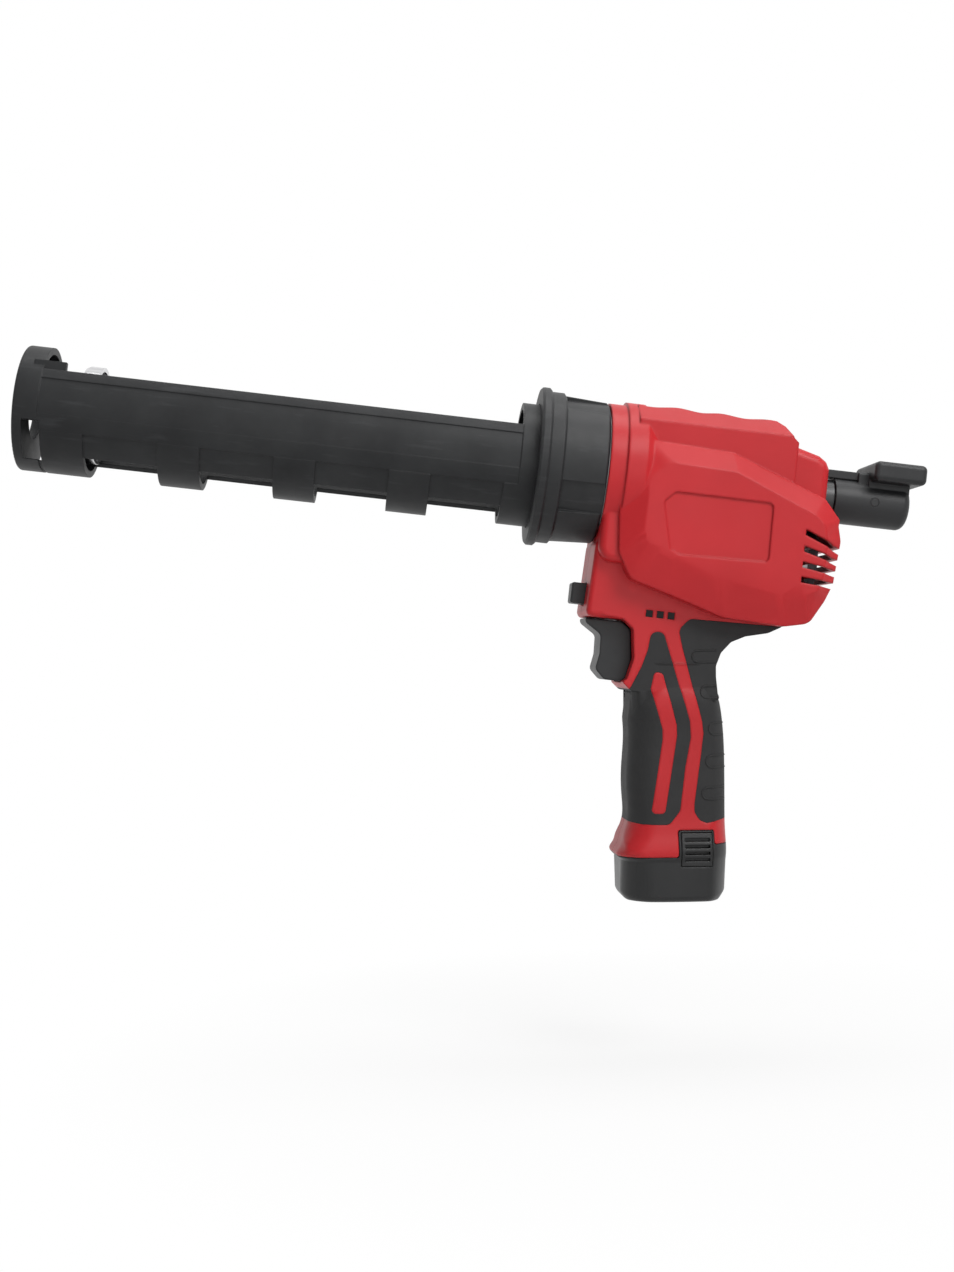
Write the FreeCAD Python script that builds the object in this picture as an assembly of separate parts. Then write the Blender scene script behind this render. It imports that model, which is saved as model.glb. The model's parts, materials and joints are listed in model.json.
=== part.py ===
import FreeCAD, Part
import math
import os

# Cordless caulking tool, in millimetres.
# X runs along the push rod towards the rear, Z is up and Y crosses the tool.
# The origin is the middle of the plane on which the cartridge seats.

# Fits shared by the whole tool
bed_gap = 0.05
run_gap = 0.08
slide_gap = 0.35
overrun = 6.0
corner_share = 0.45

# Cartridge barrel
barrel_in_r = 26.2
barrel_wall = 2.2
upper_wall_proud = 0.4
strip_proud = 0.7
band_proud = 1.0
lip_proud = 0.8
ring_proud = 1.0
end_plate_t = 4.6
front_ring_l = 6.8
nozzle_r = 14.0
trough_l = 229.2
barrel_l = 252.0
barrel_flange_t = 3.4
barrel_flange_proud = 1.6
wall_top_z = 16.0
lip_h = 4.5
seam_z = -5.0
strip_h = 7.5
band_first_x = 8.6
band_w = 19.4
band_pitch = 53.5
band_count = 5
window_half_angle = 38.0
ring_window_top_z = -8.5
ring_window_h = 16.5
gusset_l = 10.0
gusset_h = 4.0
gusset_w = 3.4

# Lock collar
collar_x = 237.0
collar_flange_t = 5.0
collar_step_l = 7.0
collar_l = 32.7
collar_flange_r = 37.9
collar_step_r = 36.2
collar_body_r = 34.9
collar_rear_r = 33.8
collar_edge = 1.0
grip_recess_depth = 0.8
grip_recess_deg = 26.0
grip_recess_first_deg = 28.0
grip_recess_count = 4

# Push rod, its piston and its pull handle
rod_r = 7.0
rod_travel = 208.0
piston_x = 22.5
piston_r = 22.9
piston_t = 2.0
piston_depth = 8.3
piston_bend = 2.2
piston_screw_r = 2.6
piston_screw_l = 14.0
piston_screw_head_r = 6.0
piston_screw_head_t = 3.2
handle_x = 383.0
sleeve_r = 11.0
sleeve_l = 37.0
sleeve_end_t = 10.0
sleeve_round = 4.0
tongue_z = 10.4
tongue_t = 3.8
tongue_w = 10.0
tongue_reach = 18.0
shoulder_x = 394.2
shoulder_top_z = 14.8
shoulder_w = 14.0
paddle_x = 399.0
paddle_l = 25.4
paddle_z = 9.8
paddle_h = 9.6
paddle_w = 36.0
paddle_round = 2.6
gusset_block_l = 20.0
gusset_block_w = 17.0
handle_pin_r = 2.0
handle_pin_x = 402.0

# Rack and gears
gear_module = 1.25
pressure_deg = 25.0
backlash = 0.24
mesh_gap = 0.1
root_share = 1.25
rack_tip_z = -6.0
rack_margin = 12.0
pinion_x = 296.0
pinion_teeth = 14
pinion_w = 6.4
pinion_shaft_r = 3.6
cross_teeth = 12
clutch_teeth = 18
spur_w = 5.6
spur_y = -14.2
cross_shaft_r = 3.0
bevel_module = 0.8
bevel_pinion_teeth = 14
bevel_gear_teeth = 28
bevel_face = 3.6
bevel_addendum_share = 0.7
bevel_backlash = 0.45
bevel_back_t = 2.2

# Gear case
spigot_r = 31.0
spigot_l = 22.0
spigot_face_t = 5.0
spigot_rim_t = 3.4
bush_wall = 2.6
front_bush_l = 14.0
case_rear_x = 314.0
case_wall = 3.4
case_front_t = 5.2
case_half_w = 15.4
case_top_z = 13.0
case_floor_z = -49.0
cover_t = 2.2
bearing_wall = 1.6
cover_screw_r = 1.6
cover_screw_head_r = 2.4
cover_screw_head_t = 1.8
cover_screw_l = 9.0
cover_screw_rise = 14.0

# Motor and gearbox
gearbox_r = 17.0
gearbox_l = 17.0
gearbox_pilot_r = 10.0
motor_r = 17.9
motor_l = 41.0
motor_wall = 1.6
motor_cap_l = 8.0
motor_cap_step = 1.4
motor_shaft_r = 1.6
rotor_r = 12.0
rotor_l = 24.0
fan_r = 14.6
fan_hub_r = 4.0
fan_t = 4.0
fan_blades = 9
fan_blade_t = 1.0
drive_shaft_r = 3.0
drive_shaft_l = 9.0

# Housing, two moulded halves
wall = 2.6
ring_x = 270.2
ring_l = 8.0
ring_r = 33.8
bump_l = 9.0
bump_r = 35.2
bump_taper_l = 8.0
bump_end_r = 29.0
neck_l = 30.0
neck_half_w = 27.0
neck_floor_z = -43.4
neck_top_z = 10.0
neck_round = 7.0
hood_x = 283.0
hood_l = 75.5
hood_top_z = 33.8
hood_floor_z = -12.0
hood_crease_z = 24.6
hood_half_w = 27.4
hood_top_half_w = 13.0
deck_x = 340.0
deck_l = 38.7
deck_top_z = 22.6
deck_floor_z = -16.0
deck_half_w = 20.0
deck_round = 5.0
lobe_x = 275.4
lobe_l = 113.0
lobe_floor_z = -64.6
lobe_h = 79.5
lobe_shoulder_w = 29.4
lobe_face_w = 35.0
lobe_corner_r = 7.0
nose_x = 268.0
nose_l = 22.0
nose_floor_z = -69.5
nose_h = 36.5
nose_corner_r = 2.8
nose_edge_r = 2.6
block_x = 268.0
block_l = 95.2
block_floor_z = -101.0
block_h = 71.0
block_half_w = 20.4
block_corner_r = 3.0
plate_recess = 1.0
plate_corner_r = 2.4
vent_slot_h = 2.8
vent_count = 4
boss_r = 4.2
screw_r = 1.5
screw_hole_r = 1.7
screw_head_r = 3.1
screw_head_t = 2.6
screw_l = 28.0
screw_seat_t = 3.0
rib_t = 3.0

# Handle and battery, set out in a leaning frame whose foot is the battery's base
lean_deg = 6.4
foot_x = 326.2
foot_z = -198.4
grip_half_w = 22.0
grip_front = 22.9
grip_rear = 26.6
grip_h = 112.0
base_corner_r = 14.0
base_round = 3.0
skirt_h = 21.0
latch_tower_h = 33.5
skirt_rear_h = 27.0
stem_half_w = 19.1
stem_front = 18.8
stem_rear = 20.4
stem_corner_r = 11.0
stem_h = 72.0
stem_cap_t = 5.0
cell_r = 9.0
cell_l = 65.0
cell_floor = 5.0
cell_pair_u = 10.0
cell_pair_y = 9.15
cell_front_u = -6.2
battery_travel = 75.0
latch_u = 8.2
latch_w = 15.0
latch_v = 17.0
latch_h = 15.4
latch_t = 2.4
latch_travel = 1.6
latch_rib_t = 1.5
latch_rib_depth = 0.7
latch_rib_count = 4
contact_t = 1.0
contact_w = 7.0
contact_h = 6.0
contact_pitch = 11.0

# Rubber grip panels
rubber_t = 1.4
rubber_corner_r = 4.0
chevron_corner_r = 2.0

# Trigger, switch, front button and charge gauge
trigger_x = 268.9
trigger_l = 24.0
trigger_top_z = -70.0
trigger_h = 28.4
trigger_half_w = 11.5
trigger_round = 3.0
trigger_edge_r = 0.7
trigger_travel = 6.0
plunger_r = 3.0
plunger_reach = 9.0
switch_x = 301.0
switch_l = 21.0
switch_half_w = 9.0
switch_top_z = -71.0
switch_h = 26.0
button_x = 261.5
button_proud = 7.6
button_z = -63.6
button_h = 10.0
button_half_w = 6.0
button_round = 1.2
button_travel = 4.0
button_flange_t = 2.0
button_flange_lip = 1.6
gauge_x = 297.7
gauge_pitch = 5.2
gauge_size = 3.2
gauge_count = 3
gauge_z = -65.3
gauge_y = -15.0
board_x = 292.0
board_l = 22.0
board_t = 1.6
board_h = 7.0
post_r = 2.0
terminal_v = 80.0
terminal_h = 8.0
terminal_half_u = 14.0
blade_t = 0.8
blade_w = 5.0
blade_drop = 4.0

# Outlines as shares of the sizes they follow
hood_wave_shares = [
    (0.0, 0.985), (0.13, 0.968), (0.265, 1.0), (0.4, 0.958),
    (0.53, 0.988), (0.67, 0.946), (0.80, 0.974), (0.885, 0.968),
]
hood_fall_shares = [(0.93, 0.885), (0.97, 0.70), (1.0, 0.64)]
deck_top_shares = [(0.0, 0.98), (0.45, 0.98), (0.83, 0.81), (0.945, 0.70), (1.0, 0.55)]
lobe_edge_shares = [
    (0.0, 0.836), (0.098, 1.0), (0.462, 0.98), (0.873, 0.769), (0.98, 0.64),
    (1.0, 0.53), (0.985, 0.27), (0.95, 0.17), (0.865, 0.03), (0.766, 0.0),
    (0.491, 0.011), (0.27, 0.107), (0.091, 0.179), (0.033, 0.327),
]
lobe_face_shares = [
    (0.127, 0.765), (0.21, 0.87), (0.479, 0.858), (0.819, 0.662), (0.892, 0.6),
    (0.912, 0.51), (0.905, 0.29), (0.875, 0.22), (0.802, 0.184), (0.722, 0.178),
    (0.45, 0.236), (0.254, 0.317), (0.158, 0.355), (0.127, 0.435),
]
nose_shares = [(0.06, 1.0), (0.0, 0.06), (0.06, 0.0), (1.0, 0.01), (1.2, 1.0)]
block_shares = [
    (0.074, 0.46), (0.187, 0.451), (0.242, 0.392),
    (0.261, 0.197), (0.236, 0.055), (0.213, 0.034), (0.262, -0.02), (0.742, -0.02),
    (0.72, 0.14), (0.714, 0.21), (0.735, 0.303), (0.779, 0.38), (0.847, 0.428),
    (0.953, 0.465), (1.0, 0.514), (1.0, 0.746), (0.337, 0.859), (0.074, 0.887),
]
plate_shares = [
    (0.19, 0.643), (0.235, 0.706), (0.642, 0.703), (0.645, 0.357), (0.276, 0.343), (0.234, 0.37),
]
vent_front_shares = [0.575, 0.478, 0.385, 0.296]
vent_rear_shares = [0.462, 0.40, 0.342, 0.275]
vent_start_share = 0.786
grip_section_shares = [
    (0.17, 1.153, 0.996, 1.09), (0.275, 1.11, 1.0, 1.06), (0.34, 0.992, 1.0, 1.0),
    (0.43, 1.0, 1.0, 1.0), (0.535, 1.009, 1.0, 1.0), (0.75, 0.974, 0.966, 1.0), (0.866, 0.952, 0.883, 0.99),
    (1.0, 0.94, 0.823, 0.955),
]
front_rubber_shares = [
    (-0.508, 1.131), (-0.275, 1.133), (-0.041, 0.952), (0.209, 0.757), (0.227, 0.688), (0.113, 0.56),
    (0.014, 0.381), (-0.194, 0.323), (-0.7, 0.325), (-1.3, 0.345), (-1.3, 0.884), (-0.95, 0.884),
    (-0.7, 0.987), (-0.58, 1.055),
]
chevron_shares = [
    (-0.45, 0.966), (-0.291, 0.957), (-0.043, 0.74), (-0.037, 0.696), (-0.275, 0.37),
    (-0.535, 0.37), (-0.314, 0.68), (-0.312, 0.722), (-0.527, 0.893),
]
rear_rubber_shares = [
    (0.229, 1.187), (0.018, 1.141), (0.077, 1.073), (0.44, 0.756), (0.468, 0.705), (0.42, 0.619),
    (0.288, 0.414), (0.287, 0.375), (0.385, 0.342), (0.517, 0.33), (1.3, 0.352), (1.3, 0.92),
    (2.2, 1.03), (2.2, 1.149), (1.119, 1.17),
]
trigger_shares = [
    (0.0, 1.0), (0.02, 0.915), (0.34, 0.74), (0.355, 0.42), (0.3, 0.16), (0.5, 0.0),
    (0.92, 0.0), (1.0, 0.38), (0.93, 0.88), (0.74, 1.0),
]
boss_shares = [
    (0.103, 1.114), (0.616, 1.089), (0.855, 0.108), (0.067, 0.0956), (0.286, -0.507), (0.492, -0.194),
]

# Places that follow from the sizes above
barrel_r = barrel_in_r + barrel_wall
band_r = barrel_r + band_proud
front_ring_r = barrel_r + ring_proud
bush_in_r = rod_r + run_gap
bush_r = bush_in_r + bush_wall
rod_front_x = piston_x + piston_t
rod_rear_x = handle_x + sleeve_l - sleeve_end_t
rear_x = deck_x + deck_l
tooth_pitch = math.pi * gear_module
pinion_pitch_r = gear_module * pinion_teeth / 2
cross_pitch_r = gear_module * cross_teeth / 2
clutch_pitch_r = gear_module * clutch_teeth / 2
pinion_z = rack_tip_z + gear_module - pinion_pitch_r - mesh_gap
motor_z = pinion_z - cross_pitch_r - clutch_pitch_r - mesh_gap
case_front_x = barrel_l
case_box_x = case_front_x + spigot_l
gearbox_x = case_rear_x
motor_x = gearbox_x + gearbox_l
motor_cap_x = motor_x + motor_l
spur_end_y = spur_y + spur_w
pinion_bearing_r = pinion_shaft_r + run_gap + bearing_wall
cross_bearing_r = cross_shaft_r + run_gap + bearing_wall
battery_top_v = stem_h + stem_cap_t
foot_top_v = grip_section_shares[0][0] * grip_h
base_front = grip_section_shares[0][1] * grip_front
base_rear = grip_section_shares[0][2] * grip_rear
base_half_w = grip_section_shares[0][3] * grip_half_w
board_y = gauge_y
board_z = gauge_z - board_h / 2
lean = math.radians(lean_deg)
wide = collar_flange_r + overrun
X_AXIS = FreeCAD.Vector(1, 0, 0)
Y_AXIS = FreeCAD.Vector(0, 1, 0)
Z_AXIS = FreeCAD.Vector(0, 0, 1)


def point(x, y, z):
    return FreeCAD.Vector(x, y, z)


def cylinder_x(radius, x_start, x_end, z=0):
    return Part.makeCylinder(radius, x_end - x_start, point(x_start, 0, z), X_AXIS)


def cylinder_y(radius, y_start, y_end, x, z):
    return Part.makeCylinder(radius, y_end - y_start, point(x, y_start, z), Y_AXIS)


def tube_x(outer, inner, x_start, x_end, z=0):
    hole = cylinder_x(inner, x_start - overrun, x_end + overrun, z)
    return cylinder_x(outer, x_start, x_end, z).cut(hole)


def tube_y(outer, inner, y_start, y_end, x, z):
    hole = cylinder_y(inner, y_start - overrun, y_end + overrun, x, z)
    return cylinder_y(outer, y_start, y_end, x, z).cut(hole)


def block(x_start, x_end, y_start, y_end, z_start, z_end):
    corner = point(x_start, y_start, z_start)
    return Part.makeBox(x_end - x_start, y_end - y_start, z_end - z_start, corner)


def polygon_wire(points):
    return Part.makePolygon(points + points[:1])


def revolved(profile):
    """Turn a closed outline of (x, radius) pairs about the rod's axis."""
    wire = polygon_wire([point(x, 0, radius) for x, radius in profile])
    return Part.Face(wire).revolve(point(0, 0, 0), X_AXIS, 360)


def fused(shapes):
    return shapes[0].multiFuse(shapes[1:]).removeSplitter()


def rounded_wire(points, radius):
    """Close a polygon with an arc at every corner."""
    edges = []
    arcs = []
    count = len(points)
    for index, corner in enumerate(points):
        back = points[index - 1] - corner
        ahead = points[(index + 1) % count] - corner
        room = corner_share * min(back.Length, ahead.Length)
        back.normalize()
        ahead.normalize()
        half = math.acos(max(-1, min(1, back.dot(ahead)))) / 2
        reach = min(radius / math.tan(half), room)
        arc_r = reach * math.tan(half)
        middle = (back + ahead).normalize() * (arc_r / math.sin(half) - arc_r)
        arcs.append((corner + back * reach, corner + middle, corner + ahead * reach))
    for index, (start, middle, end) in enumerate(arcs):
        edges.append(Part.Arc(start, middle, end).toShape())
        following = arcs[(index + 1) % count][0]
        edges.append(Part.makeLine(end, following))
    return Part.Wire(edges)


def inset_outline(outline, inset):
    """Move every side of a counter-clockwise outline of pairs inwards."""
    area = 0
    count = len(outline)
    for index in range(count):
        x0, z0 = outline[index]
        x1, z1 = outline[(index + 1) % count]
        area += x0 * z1 - x1 * z0
    turn = 1 if area > 0 else -1
    moved = []
    for index in range(count):
        x0, z0 = outline[index - 1]
        x1, z1 = outline[index]
        x2, z2 = outline[(index + 1) % count]
        before = math.hypot(x1 - x0, z1 - z0)
        after = math.hypot(x2 - x1, z2 - z1)
        nx0, nz0 = -turn * (z1 - z0) / before, turn * (x1 - x0) / before
        nx1, nz1 = -turn * (z2 - z1) / after, turn * (x2 - x1) / after
        spread = 1 + nx0 * nx1 + nz0 * nz1
        moved.append((x1 + inset * (nx0 + nx1) / spread, z1 + inset * (nz0 + nz1) / spread))
    return moved


def placed(shares, x_start, length, z_start, height):
    return [(x_start + a * length, z_start + b * height) for a, b in shares]


def side_wire(outline, y, radius):
    return rounded_wire([point(x, y, z) for x, z in outline], radius)


def side_slab(outline, half_w, radius, edge_r=0):
    """Extrude a side outline across the tool, with rounded rims on both flanks."""
    slab = Part.Face(side_wire(outline, -half_w, radius)).extrude(Y_AXIS * (2 * half_w))
    if edge_r == 0:
        return slab
    rims = []
    for face in slab.Faces:
        if abs(abs(face.normalAt(0, 0).y) - 1) < bed_gap:
            rims.extend(face.Edges)
    return slab.makeFillet(edge_r, rims)


def leaning(u, y, v):
    """Place a point of the handle's leaning frame."""
    x = foot_x + u * math.cos(lean) - v * math.sin(lean)
    z = foot_z + u * math.sin(lean) + v * math.cos(lean)
    return point(x, y, z)


def leaning_block(u_start, u_end, y_start, y_end, v_start, v_end):
    ring = [(u_start, y_start), (u_end, y_start), (u_end, y_end), (u_start, y_end)]
    face = Part.Face(polygon_wire([leaning(u, y, v_start) for u, y in ring]))
    return face.extrude(leaning(0, 0, v_end) - leaning(0, 0, v_start))


def leaning_section(front, rear, half_w, v, radius):
    ring = [(-front, -half_w), (rear, -half_w), (rear, half_w), (-front, half_w)]
    return rounded_wire([leaning(u, y, v) for u, y in ring], radius)


def leaning_column(front, rear, half_w, radius, v_start, v_end):
    face = Part.Face(leaning_section(front, rear, half_w, v_start, radius))
    return face.extrude(leaning(0, 0, v_end) - leaning(0, 0, v_start))


def leaning_cylinder(radius, u, y, v_start, v_end):
    axis = leaning(0, 0, v_end) - leaning(0, 0, v_start)
    return Part.makeCylinder(radius, v_end - v_start, leaning(u, y, v_start), axis)


def leaning_prism(outline, y_start, y_end, radius):
    wire = rounded_wire([leaning(u, y_start, v) for u, v in outline], radius)
    return Part.Face(wire).extrude(Y_AXIS * (y_end - y_start))


def mirrored(shape):
    return shape.mirror(point(0, 0, 0), Y_AXIS)


# Barrel and collar


def sector_x(radius, half_deg, middle_deg, x_start, x_end):
    """A wedge about the rod's axis, half_deg each side of middle_deg."""
    reach = radius / math.cos(math.radians(half_deg))
    corners = [point(x_start, 0, 0)]
    for side in (-1, 1):
        angle = math.radians(middle_deg + side * half_deg)
        corners.append(point(x_start, reach * math.cos(angle), reach * math.sin(angle)))
    return Part.Face(polygon_wire(corners)).extrude(X_AXIS * (x_end - x_start))


def barrel_layer(proud, x_start, x_end, z_start, z_end):
    layer = tube_x(barrel_r + proud, barrel_in_r, x_start, x_end)
    return layer.common(block(x_start, x_end, -wide, wide, z_start, z_end))


def cartridge_barrel():
    strip_z = seam_z - strip_h
    tube = barrel_layer(0, 0, trough_l, -wide, wall_top_z)
    upper = barrel_layer(upper_wall_proud, 0, trough_l, seam_z, wall_top_z)
    lip = barrel_layer(lip_proud, 0, trough_l, wall_top_z - lip_h, wall_top_z)
    strip = barrel_layer(strip_proud, 0, trough_l, strip_z, seam_z)
    windows = []
    bands = []
    for index in range(band_count):
        start = band_first_x + index * band_pitch
        end = min(start + band_w, barrel_l)
        bands.append(barrel_layer(band_proud, start, end, -wide, strip_z))
        if end < trough_l:
            after = min(start + band_pitch, trough_l)
            windows.append(sector_x(wide, window_half_angle, -90, end, after))
    trough = fused([tube, upper, lip, strip] + bands)
    trough = trough.cut(Part.makeCompound(windows))
    front = cylinder_x(front_ring_r, -end_plate_t, front_ring_l)
    front = front.cut(cylinder_x(barrel_in_r, 0, front_ring_l + overrun))
    front = front.cut(cylinder_x(nozzle_r, -end_plate_t - overrun, overrun))
    front_edges = [e for e in front.Edges if abs(e.BoundBox.XMax + end_plate_t) < bed_gap]
    front = front.makeFillet(end_plate_t / 4, front_edges)
    gussets = []
    for side in (-1, 1):
        y = side * math.sqrt(barrel_r ** 2 - wall_top_z ** 2)
        y_start = min(y, y - side * gusset_w)
        gussets.append(block(front_ring_l - end_plate_t, front_ring_l + gusset_l,
                             y_start, y_start + gusset_w,
                             wall_top_z - lip_h, wall_top_z + gusset_h))
    gusset_bore = cylinder_x(barrel_in_r, 0, front_ring_l + gusset_l + overrun)
    gussets = [piece.cut(gusset_bore) for piece in gussets]
    rear = tube_x(band_r, barrel_in_r, trough_l, barrel_l)
    flange = tube_x(band_r + barrel_flange_proud, barrel_in_r, barrel_l - barrel_flange_t, barrel_l)
    barrel = fused([trough, front, rear, flange] + gussets)
    window_floor_z = ring_window_top_z - ring_window_h
    side_windows = block(0, band_first_x - upper_wall_proud, -wide, wide,
                         window_floor_z, ring_window_top_z)
    return barrel.cut(side_windows)


def lock_collar():
    rear_x_collar = collar_x + collar_l
    lip_end = barrel_l - barrel_flange_t - slide_gap
    lip_r = band_r + slide_gap
    bore_r = spigot_r + slide_gap
    flange_end = collar_x + collar_flange_t
    step_end = flange_end + collar_step_l
    profile = [
        (collar_x, lip_r), (collar_x, collar_flange_r - collar_edge),
        (collar_x + collar_edge, collar_flange_r), (flange_end - collar_edge, collar_flange_r),
        (flange_end, collar_flange_r - collar_edge), (flange_end, collar_step_r),
        (step_end - collar_edge, collar_step_r), (step_end, collar_body_r),
        (rear_x_collar - collar_edge, collar_rear_r), (rear_x_collar, collar_rear_r - collar_edge),
        (rear_x_collar, bore_r), (lip_end, bore_r), (lip_end, lip_r),
    ]
    collar = revolved(profile)
    skin = tube_x(collar_flange_r, collar_rear_r - grip_recess_depth, step_end, rear_x_collar)
    recesses = []
    for index in range(grip_recess_count):
        middle = grip_recess_first_deg + index * 360 / grip_recess_count
        wedge = sector_x(wide, grip_recess_deg / 2, middle, step_end, rear_x_collar)
        recesses.append(wedge.common(skin))
    return collar.cut(Part.makeCompound(recesses))


# Push rod


def rack_spaces():
    """The gaps between the rack's teeth, under the rod."""
    slope = math.tan(math.radians(pressure_deg))
    half_gap = (tooth_pitch + backlash) / 4
    dedendum = root_share * gear_module
    pitch_z = rack_tip_z + gear_module
    half_mouth = half_gap + (gear_module + overrun) * slope
    half_root = half_gap - dedendum * slope
    first = -math.floor((rod_travel + rack_margin) / tooth_pitch)
    last = math.floor(rack_margin / tooth_pitch)
    spaces = []
    for index in range(first, last + 1):
        middle = pinion_x + index * tooth_pitch
        corners = [
            point(middle - half_mouth, -rod_r, rack_tip_z - overrun),
            point(middle + half_mouth, -rod_r, rack_tip_z - overrun),
            point(middle + half_root, -rod_r, pitch_z + dedendum),
            point(middle - half_root, -rod_r, pitch_z + dedendum),
        ]
        spaces.append(Part.Face(polygon_wire(corners)).extrude(Y_AXIS * (2 * rod_r)))
    return spaces


def push_rod():
    rod = cylinder_x(rod_r, rod_front_x, rod_rear_x)
    flat = block(pinion_x - rod_travel - rack_margin, pinion_x + rack_margin,
                 -rod_r, rod_r, -rod_r - overrun, rack_tip_z)
    rod = rod.cut(flat)
    for space in rack_spaces():
        rod = rod.cut(space)
    rod = rod.cut(cylinder_x(piston_screw_r + bed_gap, rod_front_x - overrun, rod_front_x + piston_screw_l))
    return rod.cut(cylinder_y(handle_pin_r + bed_gap, -wide, wide, handle_pin_x, 0))


def piston_plate():
    hole_r = piston_screw_r + bed_gap
    back_x = piston_x + piston_depth
    inner_r = piston_r - piston_t
    bend_in = max(piston_bend - piston_t, bed_gap)
    profile = [
        (piston_x, hole_r), (piston_x, piston_r - piston_bend),
        (piston_x + piston_bend / 3, piston_r - piston_bend / 3), (piston_x + piston_bend, piston_r),
        (back_x, piston_r), (back_x, inner_r), (rod_front_x + bend_in, inner_r),
        (rod_front_x, inner_r - bend_in), (rod_front_x, hole_r),
    ]
    return revolved(profile)


def piston_screw():
    head = cylinder_x(piston_screw_head_r, piston_x - piston_screw_head_t, piston_x)
    rim = [e for e in head.Edges if abs(e.BoundBox.XMax - (piston_x - piston_screw_head_t)) < bed_gap]
    head = head.makeFillet(piston_screw_head_t / 2, rim)
    shank = cylinder_x(piston_screw_r, piston_x - piston_screw_head_t / 2, rod_front_x + piston_screw_l - bed_gap)
    return head.fuse(shank).removeSplitter()


def pull_handle():
    sleeve_end = handle_x + sleeve_l
    sleeve = cylinder_x(sleeve_r, handle_x, sleeve_end)
    rim = [e for e in sleeve.Edges if abs(e.BoundBox.XMin - sleeve_end) < bed_gap]
    sleeve = sleeve.makeFillet(sleeve_round, rim)
    tongue = block(rear_x - tongue_reach, shoulder_x + tongue_t, -tongue_w / 2, tongue_w / 2,
                   tongue_z, tongue_z + tongue_t)
    shoulder = block(shoulder_x, paddle_x + tongue_t, -shoulder_w / 2, shoulder_w / 2, 0, shoulder_top_z)
    shoulder_top = [e for e in shoulder.Edges if e.BoundBox.ZMin > shoulder_top_z - bed_gap]
    shoulder = shoulder.makeFillet(tongue_t / 2, shoulder_top)
    paddle = block(paddle_x, paddle_x + paddle_l, -paddle_w / 2, paddle_w / 2, paddle_z, paddle_z + paddle_h)
    paddle = paddle.makeFillet(paddle_round, paddle.Edges)
    web = block(paddle_x, paddle_x + gusset_block_l, -gusset_block_w / 2, gusset_block_w / 2,
                0, paddle_z + paddle_round)
    handle = fused([sleeve, tongue, shoulder, paddle, web])
    handle = handle.cut(cylinder_x(rod_r + bed_gap, handle_x - overrun, rod_rear_x + bed_gap))
    return handle.cut(cylinder_y(handle_pin_r + bed_gap, -wide, wide, handle_pin_x, 0))


def handle_pin():
    return cylinder_y(handle_pin_r, -sleeve_r + bed_gap, sleeve_r - bed_gap, handle_pin_x, 0)


# Gears


def involute(angle):
    return math.tan(angle) - angle


def spur_gear(teeth, x, z, y_start, width, first_deg, bore_r):
    """A straight gear about a cross axis, with a tooth standing at first_deg."""
    pressure = math.radians(pressure_deg)
    pitch_r = gear_module * teeth / 2
    base_r = pitch_r * math.cos(pressure)
    tip_r = pitch_r + gear_module
    root_r = pitch_r - root_share * gear_module
    half = math.pi / (2 * teeth) - backlash / (4 * pitch_r) + involute(pressure)
    flank = []
    for radius in (root_r, max(base_r, root_r), pitch_r, (pitch_r + tip_r) / 2, tip_r):
        grown = max(radius, base_r)
        flank.append((radius, half - involute(math.acos(base_r / grown))))
    corners = []
    for index in range(teeth):
        middle = math.radians(first_deg) + index * 2 * math.pi / teeth
        tooth = [(radius, middle - share) for radius, share in flank]
        tooth += [(radius, middle + share) for radius, share in reversed(flank)]
        for radius, angle in tooth:
            corners.append(point(x + radius * math.cos(angle), y_start, z + radius * math.sin(angle)))
    gear = Part.Face(polygon_wire(corners)).extrude(Y_AXIS * width)
    return gear.cut(cylinder_y(bore_r, y_start - overrun, y_start + width + overrun, x, z))


def bevel_ring(teeth, mate_teeth):
    """Tooth corners of a bevel gear as (cone angle, turn) pairs, about its own axis."""
    pitch_r = bevel_module * teeth / 2
    cone = math.atan(teeth / mate_teeth)
    distance = pitch_r / math.sin(cone)
    slope = math.tan(math.radians(pressure_deg))
    half_pitch = (math.pi * bevel_module - bevel_backlash) / 4
    tip = bevel_addendum_share * bevel_module
    root = -root_share * bevel_module
    corners = []
    for index in range(teeth):
        middle = index * 2 * math.pi / teeth
        for height, side in ((root, -1), (tip, -1), (tip, 1), (root, 1)):
            turn = side * (half_pitch - height * slope) / (pitch_r + height * math.cos(cone))
            corners.append((cone + math.atan(height / distance), middle + turn))
    return corners


def bevel_solid(teeth, mate_teeth, start_turn, frame):
    """Loft the teeth towards the point where the two shafts cross."""
    pitch_r = bevel_module * teeth / 2
    depth = bevel_module * mate_teeth / 2
    distance = math.hypot(pitch_r, depth)
    wires = []
    for along in (depth, depth * (1 - bevel_face / distance)):
        ring = []
        for angle, turn in bevel_ring(teeth, mate_teeth):
            radius = along * math.tan(angle)
            ring.append(frame(along, radius * math.cos(turn + start_turn), radius * math.sin(turn + start_turn)))
        wires.append(polygon_wire(ring))
    return Part.makeLoft(wires, True, True)


def drive_frame(along, side, up):
    return point(pinion_x + along, side, motor_z + up)


def gear_frame(along, side, up):
    return point(pinion_x + side, along, motor_z + up)


def bevel_pinion():
    depth = bevel_module * bevel_gear_teeth / 2
    pitch_r = bevel_module * bevel_pinion_teeth / 2
    teeth = bevel_solid(bevel_pinion_teeth, bevel_gear_teeth, 0, drive_frame)
    back_x = pinion_x + depth
    hub = cylinder_x(pitch_r - bevel_module, back_x - bed_gap, case_rear_x, motor_z)
    shaft = cylinder_x(drive_shaft_r, back_x, case_rear_x + drive_shaft_l, motor_z)
    return fused([teeth, hub, shaft])


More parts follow.
